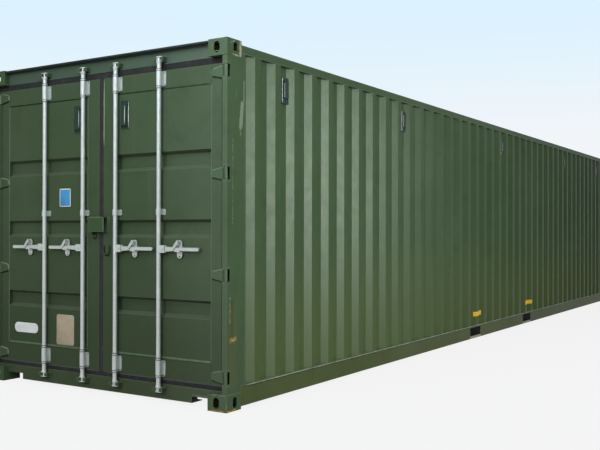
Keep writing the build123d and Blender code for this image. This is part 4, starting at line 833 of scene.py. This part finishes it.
def make_leaf_edge():
    """Bright painted highlight along the upper half of the edge of the leaf that closes
    over the other.
    """
    low = corner_low("right_door_frame")
    high = corner_high("right_door_frame")
    edge = Piece("right_door_edge", "right_door", "green_paint", LEDGE_HIGHLIGHT_PAINT)
    x = low.x + HIGHLIGHT_EDGE_INSET
    start, end = (high.z - drop for drop in HIGHLIGHT_EDGE_DROPS)
    edge.bead((x, LEAF_Y, start), (x, LEAF_Y, end), FORWARD, width=0.008, height=0.003,
              step=0.03)
    edge.finish()


def make_bearing_rivets(side, sign):
    """Rivets on each side of the rods' bearing plates."""
    rivets = Piece(side + "_bearing_rivets", side + "_door", "galvanised_steel",
                   DARK_ZINC)
    plate_y = LEAF_Y - BEARING_PLATE_THICK
    for x in ROD_PLACES:
        for z, rise in BEARING_PLATES:
            for aside in (-RIVET_OFFSET, RIVET_OFFSET):
                for up in sorted({-rise, rise}):
                    rivets.rivet((sign * x + aside, z + up), plate_y, radius=0.0055,
                                 height=0.004)
    rivets.finish()


def make_gasket_ribs(side, sign):
    """Lips along the seal's head and foot, with a paler lip under the leaf's foot painted
    as a highlight, and the thin dark seal at the hinge edge, partly a painted shade of the
    gap beside the post.
    """
    low = corner_low(side + "_door_gasket")
    high = corner_high(side + "_door_gasket")
    leaf_low = corner_low("right_door_frame")
    leaf_high = corner_high("right_door_frame")
    start, end = (sign * x for x in GASKET_ENDS_X)
    ribs = Piece(side + "_gasket_ribs", side + "_door", "black_rubber", BLACK_RUBBER)
    for edge, leaf_edge in ((high.z, leaf_high.z), (low.z, leaf_low.z)):
        for share in GASKET_RIB_SHARES:
            z = leaf_edge + (edge - leaf_edge) * share
            ribs.bead((start, GASKET_FRONT_Y, z), (end, GASKET_FRONT_Y, z), FORWARD,
                      width=0.006, height=0.003, step=0.03)
    # Thin dark seal at the hinge edge: partly rubber, partly a painted shade of the gap
    # beside the post
    x = sign * HINGE_SEAL_X
    ribs.bead((x, LEAF_Y, leaf_low.z), (x, LEAF_Y, leaf_high.z), FORWARD, width=0.007,
              height=0.002, step=0.03)
    ribs.finish()
    # Paler lip under the leaf's foot: a painted highlight on the top of the lower gasket
    lip = Piece(side + "_gasket_lip", side + "_door", "black_rubber", HIGHLIGHT_RUBBER)
    z = leaf_low.z - GASKET_LIP_DROP
    lip.bead((start, GASKET_FRONT_Y, z), (end, GASKET_FRONT_Y, z), FORWARD, width=0.009,
             height=0.005, step=0.03)
    lip.finish()


def make_hinge_welds(side, sign):
    """Weld beads round each hinge blade, pale above as a painted highlight and dark in its
    lower corner as a painted shadow.
    """
    tip = corner_low("right_hinge_blades").x
    tip_x = sign * tip
    back_x = sign * (tip + HINGE_REACH)
    pale = Piece(side + "_hinge_welds", side + "_door", "green_paint", HIGHLIGHT_PAINT)
    dark = Piece(side + "_hinge_shadows", side + "_door", "green_paint", SHADOW_AND_SEAM_PAINT)
    for z in HINGE_HEIGHTS:
        upper = [z + rise for rise in HINGE_UPPER_EDGE]
        lower = [z + rise for rise in HINGE_LOWER_EDGE]
        pale.bead((tip_x, LEAF_Y, z - HINGE_TIP_HALF), (tip_x, LEAF_Y, z + HINGE_TIP_HALF),
                  FORWARD, width=0.009, height=0.009)
        pale.bead((tip_x, LEAF_Y, upper[0]), (back_x, LEAF_Y, upper[1]), FORWARD,
                  width=0.009, height=0.010)
        dark.bead((tip_x, LEAF_Y, lower[0]), (back_x, LEAF_Y, lower[1]), FORWARD,
                  width=0.013, height=0.003)
    pale.finish()
    dark.finish()


def make_casting_welds():
    """Beads where the posts stand on the lower castings and meet the upper ones, paler as a
    painted highlight.
    """
    welds = Piece("casting_welds", "frame", "green_paint", WELD_HIGHLIGHT_PAINT)
    low = corner_low("door_corner_posts")
    high = corner_high("door_corner_posts")
    for sign in (1, -1):
        inner, outer = (sign * x for x in POST_WELD_X)
        x = sign * high.x
        for end, facing in ((low.y, -1.0), (-low.y, 1.0)):
            for z in (low.z, high.z):
                welds.bead((inner, end, z), (outer, end, z), (0.0, facing, 0.0),
                           width=0.007, height=0.0025)
                welds.bead((x, end, z), (x, end - facing * POST_WELD_DEPTH, z),
                           (sign, 0.0, 0.0), width=0.007, height=0.0025)
    welds.finish()


def make_wall_foot():
    """Weld line along the ledge under each side wall, pale as a painted highlight, with a
    dark line below it painted as the shadow under the ledge.
    """
    ledge = corner_high("bottom_side_rails")
    start, end = -ledge.y + WALL_FOOT_MARGIN, ledge.y - WALL_FOOT_MARGIN
    for name, sign in SIDES:
        for kind, material, sunk, drop, width, height in WALL_FOOT_LINES:
            line = Piece(f"{name}_wall_foot_{kind}", "frame", "green_paint", material)
            x = sign * (ledge.x - sunk)
            z = ledge.z - drop
            line.bead((x, start, z), (x, end, z), (sign, 0.0, 0.0), width, height,
                      step=0.04)
            line.finish()


def make_sill_ends():
    """Dark sheet in the open end of the sill's box section beside each of its notches:
    painted shade of the hollow.
    """
    low = corner_low("door_sill")
    front, back = (low.y + depth for depth in SILL_BOX_Y)
    ends = Piece("sill_notch_ends", "frame", "underframe_paint", SHADE_PLASTIC)
    for sign in (1, -1):
        rings = []
        for out, inset in SILL_END_RINGS:
            rings.append(upright_ring(sign * (SILL_NOTCH_X + out),
                                      (front + inset, back - inset),
                                      (low.z + inset, SILL_BOX_TOP - inset)))
        ends.skin(rings)
    ends.finish()


def make_header_shade_strip():
    """Dark strip under the lip along the header's top edge: painted shade of the lip's
    underside.
    """
    low = corner_low("door_header")
    high = corner_high("door_header")
    strip = Piece("header_shade_strip", "frame", "black_rubber", SHADE_PLASTIC)
    foot, head = (high.z - drop for drop in HEADER_STRIP_DROPS)
    strip.plate([(low.x, foot), (high.x, foot), (high.x, head), (low.x, head)],
                low.y - HEADER_STRIP_GAP, thick=0.0025, round_off=0.001)
    strip.finish()


def make_lock_box_end():
    """Back flange, and a bright rim at the open end of the lock box painted as a highlight.
    """
    low = corner_low("lock_box")
    high = corner_high("lock_box")
    end = Piece("lock_box_end", "right_door", "green_paint", FITTING_PAINT)
    flange = rounded_outline((high.x, low.z - LOCK_FLANGE_BELOW),
                             (high.x + LOCK_FLANGE_REACH, high.z + LOCK_FLANGE_ABOVE),
                             corner=0.004)
    end.plate(flange, LEAF_Y, thick=0.004, round_off=0.001)
    end.finish()
    rim = Piece("lock_box_rim", "right_door", "green_paint", HIGHLIGHT_PAINT)
    x = high.x - LOCK_RIM_INSET
    y = low.y + LOCK_RIM_SUNK
    z = high.z - LOCK_RIM_INSET
    rim.bead((x, y, low.z + LOCK_RIM_SHORT), (x, y, high.z - LOCK_RIM_SHORT), FORWARD,
             width=0.006, height=0.0012)
    rim.bead((low.x + LOCK_RIM_INSET, y, z), (x, y, z), FORWARD, width=0.005,
             height=0.001)
    rim.finish()


def make_labels():
    """Plain films and one riveted plate on the left door."""
    pale = film("white_film", WHITE_FILM)
    low, high = BLUE_LABEL
    border = Piece("blue_label_border", "left_door", "white_film", pale)
    border.plate(rounded_outline(low, high, corner=0.008), LEAF_Y, FILM_THICK,
                 FILM_THICK / 2)
    border.finish()
    inner_low = tuple(place + BLUE_LABEL_BORDER for place in low)
    inner_high = tuple(place - BLUE_LABEL_BORDER for place in high)
    blue = Piece("blue_label", "left_door", "blue_film", film("blue_film", BLUE_FILM))
    blue.plate(rounded_outline(inner_low, inner_high, corner=0.004), LEAF_Y - FILM_THICK,
               thick=0.0005, round_off=0.0003)
    blue.finish()
    white = Piece("white_label", "left_door", "white_film", pale)
    white.plate(rounded_outline(*WHITE_LABEL, corner=0.040, steps=10), LEAF_Y, FILM_THICK,
                FILM_THICK / 2)
    white.finish()
    tan = Piece("data_plate", "left_door", "tan_plate", film("tan_plate", TAN_PLATE))
    low, high = DATA_PLATE
    tan.plate(rounded_outline(low, high, corner=0.018), LEAF_Y, DATA_PLATE_THICK,
              DATA_PLATE_THICK / 2)
    for x in (low[0] + PLATE_RIVET_INSET, high[0] - PLATE_RIVET_INSET):
        for z in (low[1] + PLATE_RIVET_INSET, (low[1] + high[1]) / 2,
                  high[1] - PLATE_RIVET_INSET):
            tan.rivet((x, z), LEAF_Y - DATA_PLATE_THICK, radius=0.004, height=0.002)
    tan.finish()


def surface_of(node):
    """A node's surface, for casting rays at it."""
    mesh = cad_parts[node].data
    points = [vertex.co.copy() for vertex in mesh.vertices]
    return BVHTree.FromPolygons(points, [tuple(face.vertices) for face in mesh.polygons])


def make_wall_films():
    """Plain yellow films near the fork pockets, draped over the wall's folds."""
    material = film("yellow_film", YELLOW_FILM)
    heights = [WALL_FILM_LOW + WALL_FILM_TALL * number / WALL_FILM_ROWS
               for number in range(WALL_FILM_ROWS + 1)]
    for name, sign in SIDES:
        wall = surface_of("side_wall_" + name)
        inward = Vector((-sign, 0, 0))
        for place, (start, end) in WALL_FILMS:
            made = Piece(f"{name}_wall_film_{place}", "frame", "yellow_film", material)
            rings = []
            for step in range(WALL_FILM_STEPS + 1):
                y = start + (end - start) * step / WALL_FILM_STEPS
                front = []
                for z in heights:
                    hit = wall.ray_cast(Vector((sign * RAY_START_X, y, z)), inward)
                    front.append((hit[0].x + sign * WALL_FILM_LIFT, y, z))
                back = [(x - sign * FILM_THICK, y, z) for x, y, z in reversed(front)]
                rings.append(front + back)
            made.skin(rings)
            made.finish()


def make_vent_rims():
    """Pale rims painted as highlights and dark slots painted as shade, on the door end side
    of each wall vent.
    """
    low = corner_low("side_vents")
    high = corner_high("side_vents")
    for name, sign in SIDES:
        pieces = {"rims": Piece(name + "_vent_rims", "frame", "vent_plastic", HIGHLIGHT_PLASTIC),
                  "slots": Piece(name + "_vent_slots", "frame", "vent_plastic", SHADE_PLASTIC)}
        for centre in WALL_VENTS:
            for kind, (near, far), out, gap in VENT_STRIPS:
                rings = []
                for x, inset in ((VENT_STRIP_BACK_X, 0.0), (out - VENT_STRIP_EDGE, 0.0),
                                 (out, VENT_STRIP_EDGE)):
                    rings.append(upright_ring(
                        sign * x, (centre + near + inset, centre + far - inset),
                        (low.z + gap + inset, high.z - gap - inset)))
                pieces[kind].skin(rings)
        for piece in pieces.values():
            piece.finish()


def make_door_vent_rims(side):
    """Pale edges along each door vent's open side: painted highlights."""
    low = corner_low(side + "_door_vent")
    high = corner_high(side + "_door_vent")
    rims = Piece(side + "_door_vent_rims", side + "_door", "vent_plastic", HIGHLIGHT_PLASTIC)
    vent = surface_of(side + "_door_vent")
    for inset, gap in DOOR_VENT_RIMS[side]:
        x = high.x - inset
        start = Vector((x, low.y - DOOR_VENT_RAY_RUN, (low.z + high.z) / 2))
        y = vent.ray_cast(start, Vector((0.0, 1.0, 0.0)))[0].y
        rims.bead((x, y, low.z + gap), (x, y, high.z - gap), FORWARD, width=0.006,
                  height=0.003, step=0.03)
    rims.finish()


def make_pieces():
    """Everything that the scene adds to the nodes."""
    for side, sign in SIDES:
        make_door_vent_rims(side)
        make_door_beads(side, sign)
        make_bearing_rivets(side, sign)
        make_gasket_ribs(side, sign)
        make_hinge_welds(side, sign)
    make_leaf_edge()
    make_labels()
    make_wall_films()
    make_vent_rims()
    make_casting_welds()
    make_wall_foot()
    make_sill_ends()
    make_header_shade_strip()
    make_lock_box_end()


# Stage, light and camera

def floor_material():
    """Matt floor that looks white to the camera and in reflections, and keeps shadows."""
    s = Surface("studio_floor")
    soft = s.ramp(s.noise(0.8, 3.0), 0.3, 0.7, 0.0, 0.5)
    colour = s.mix(soft, FLOOR_COLOUR, tuple(c + 0.01 for c in FLOOR_COLOUR))
    material = s.set(Base_Color=colour, Roughness=0.9, Specular_IOR_Level=0.1)
    glow = s.node("ShaderNodeEmission", {"Color": FLOOR_SHOWN, "Strength": 1.0})
    mixed = s.choose(s.times(s.seen(), FLOOR_GLOW), s.shader, glow)
    s.feed(s.tree.nodes["Material Output"].inputs["Surface"], mixed)
    return material


def make_floor():
    mesh = bpy.data.meshes.new("studio_floor")
    half = FLOOR_SIZE / 2
    mesh.from_pydata([(-half, -half, 0), (half, -half, 0), (half, half, 0),
                      (-half, half, 0)], [], [(0, 1, 2, 3)])
    floor = bpy.data.objects.new("studio_floor", mesh)
    bpy.context.scene.collection.objects.link(floor)
    mesh.materials.append(floor_material())


def make_world():
    """Sky gradient for the camera and reflections, plain pale light for the rest."""
    world = bpy.data.worlds.new("studio")
    bpy.context.scene.world = world
    world.use_nodes = True
    world.node_tree.nodes.clear()
    w = Nodes(world.node_tree)
    rise = w.axis("Z", w.node("ShaderNodeTexCoord").outputs["Generated"])
    share = w.ramp(rise, SKY_HORIZON_SINE, SKY_TOP_SINE)
    shown = w.node("ShaderNodeBackground", {"Color": w.mix(share, SKY_HORIZON, SKY_TOP)})
    light = w.node("ShaderNodeBackground", {"Color": WORLD_LIGHT,
                                            "Strength": WORLD_STRENGTH})
    w.node("ShaderNodeOutputWorld", {"Surface": w.choose(w.seen(), light, shown)})


def soft_lamp(name, place, target, width, height, radiance, tint=(1.0, 1.0, 1.0)):
    """Rectangular lamp whose brightness is set as radiance."""
    lamp = bpy.data.lights.new(name, "AREA")
    lamp.shape = "RECTANGLE"
    lamp.size = width
    lamp.size_y = height
    lamp.energy = radiance * math.pi * width * height
    lamp.color = tint
    holder = bpy.data.objects.new(name, lamp)
    bpy.context.scene.collection.objects.link(holder)
    away = Vector(target) - Vector(place)
    holder.location = place
    holder.rotation_euler = away.to_track_quat("-Z", "Y").to_euler()


# Each lamp's place, target, width, height and radiance, and a tint where it has one
LAMPS = (
    ("side_softbox", (8.5, -4.1, 2.3), (1.2, -3.4, 1.4), 4.8, 3.4, 6.6),
    ("door_key", (0.3, -14.5, 4.8), (0.0, -6.0, 1.3), 1.2, 1.2, 55.0),
    ("top_fill", (1.4, -7.7, 3.7), (0.5, -6.0, 2.2), 2.4, 1.2, 5.6, (0.74, 0.90, 1.0)),
    ("door_fill", (-5.0, -14.0, 6.4), (0.6, -6.0, 2.4), 3.0, 2.4, 2.4),
    ("back_softbox", (-7.5, 9.0, 6.5), (0.0, 2.0, 1.0), 8.0, 5.0, 2.4),
    ("end_softbox", (-3.5, 15.0, 5.0), (0.0, 6.0, 1.2), 5.0, 4.0, 4.0),
)


def make_lights():
    for settings in LAMPS:
        soft_lamp(*settings)


def make_camera():
    """The photograph's camera, from its solved place, angles and frame."""
    yaw = math.radians(CAMERA_YAW)
    pitch = math.radians(CAMERA_PITCH)
    roll = math.radians(CAMERA_ROLL)
    ahead = Vector((math.sin(yaw) * math.cos(pitch), math.cos(yaw) * math.cos(pitch),
                    math.sin(pitch)))
    right = ahead.cross(Vector((0.0, 0.0, 1.0))).normalized()
    up = right.cross(ahead)
    right_rolled = right * math.cos(roll) + up * math.sin(roll)
    up_rolled = up * math.cos(roll) - right * math.sin(roll)
    turned = Matrix((right_rolled, up_rolled, -ahead)).transposed().to_4x4()
    camera = bpy.data.cameras.new("camera")
    camera.sensor_width = SENSOR_MM
    camera.lens = SENSOR_MM * FOCAL_PIXELS / PHOTO_WIDTH
    camera.shift_x = (PHOTO_WIDTH / 2 - PRINCIPAL_X) / PHOTO_WIDTH
    camera.shift_y = (PRINCIPAL_Y - PHOTO_HEIGHT / 2) / PHOTO_WIDTH
    camera.clip_end = CLIP_END
    holder = bpy.data.objects.new("camera", camera)
    bpy.context.scene.collection.objects.link(holder)
    holder.matrix_world = Matrix.Translation(CAMERA_PLACE) @ turned
    bpy.context.scene.camera = holder


dress_nodes()
make_pieces()
make_floor()
make_world()
make_lights()
make_camera()
bpy.context.scene.view_settings.view_transform = "Standard"
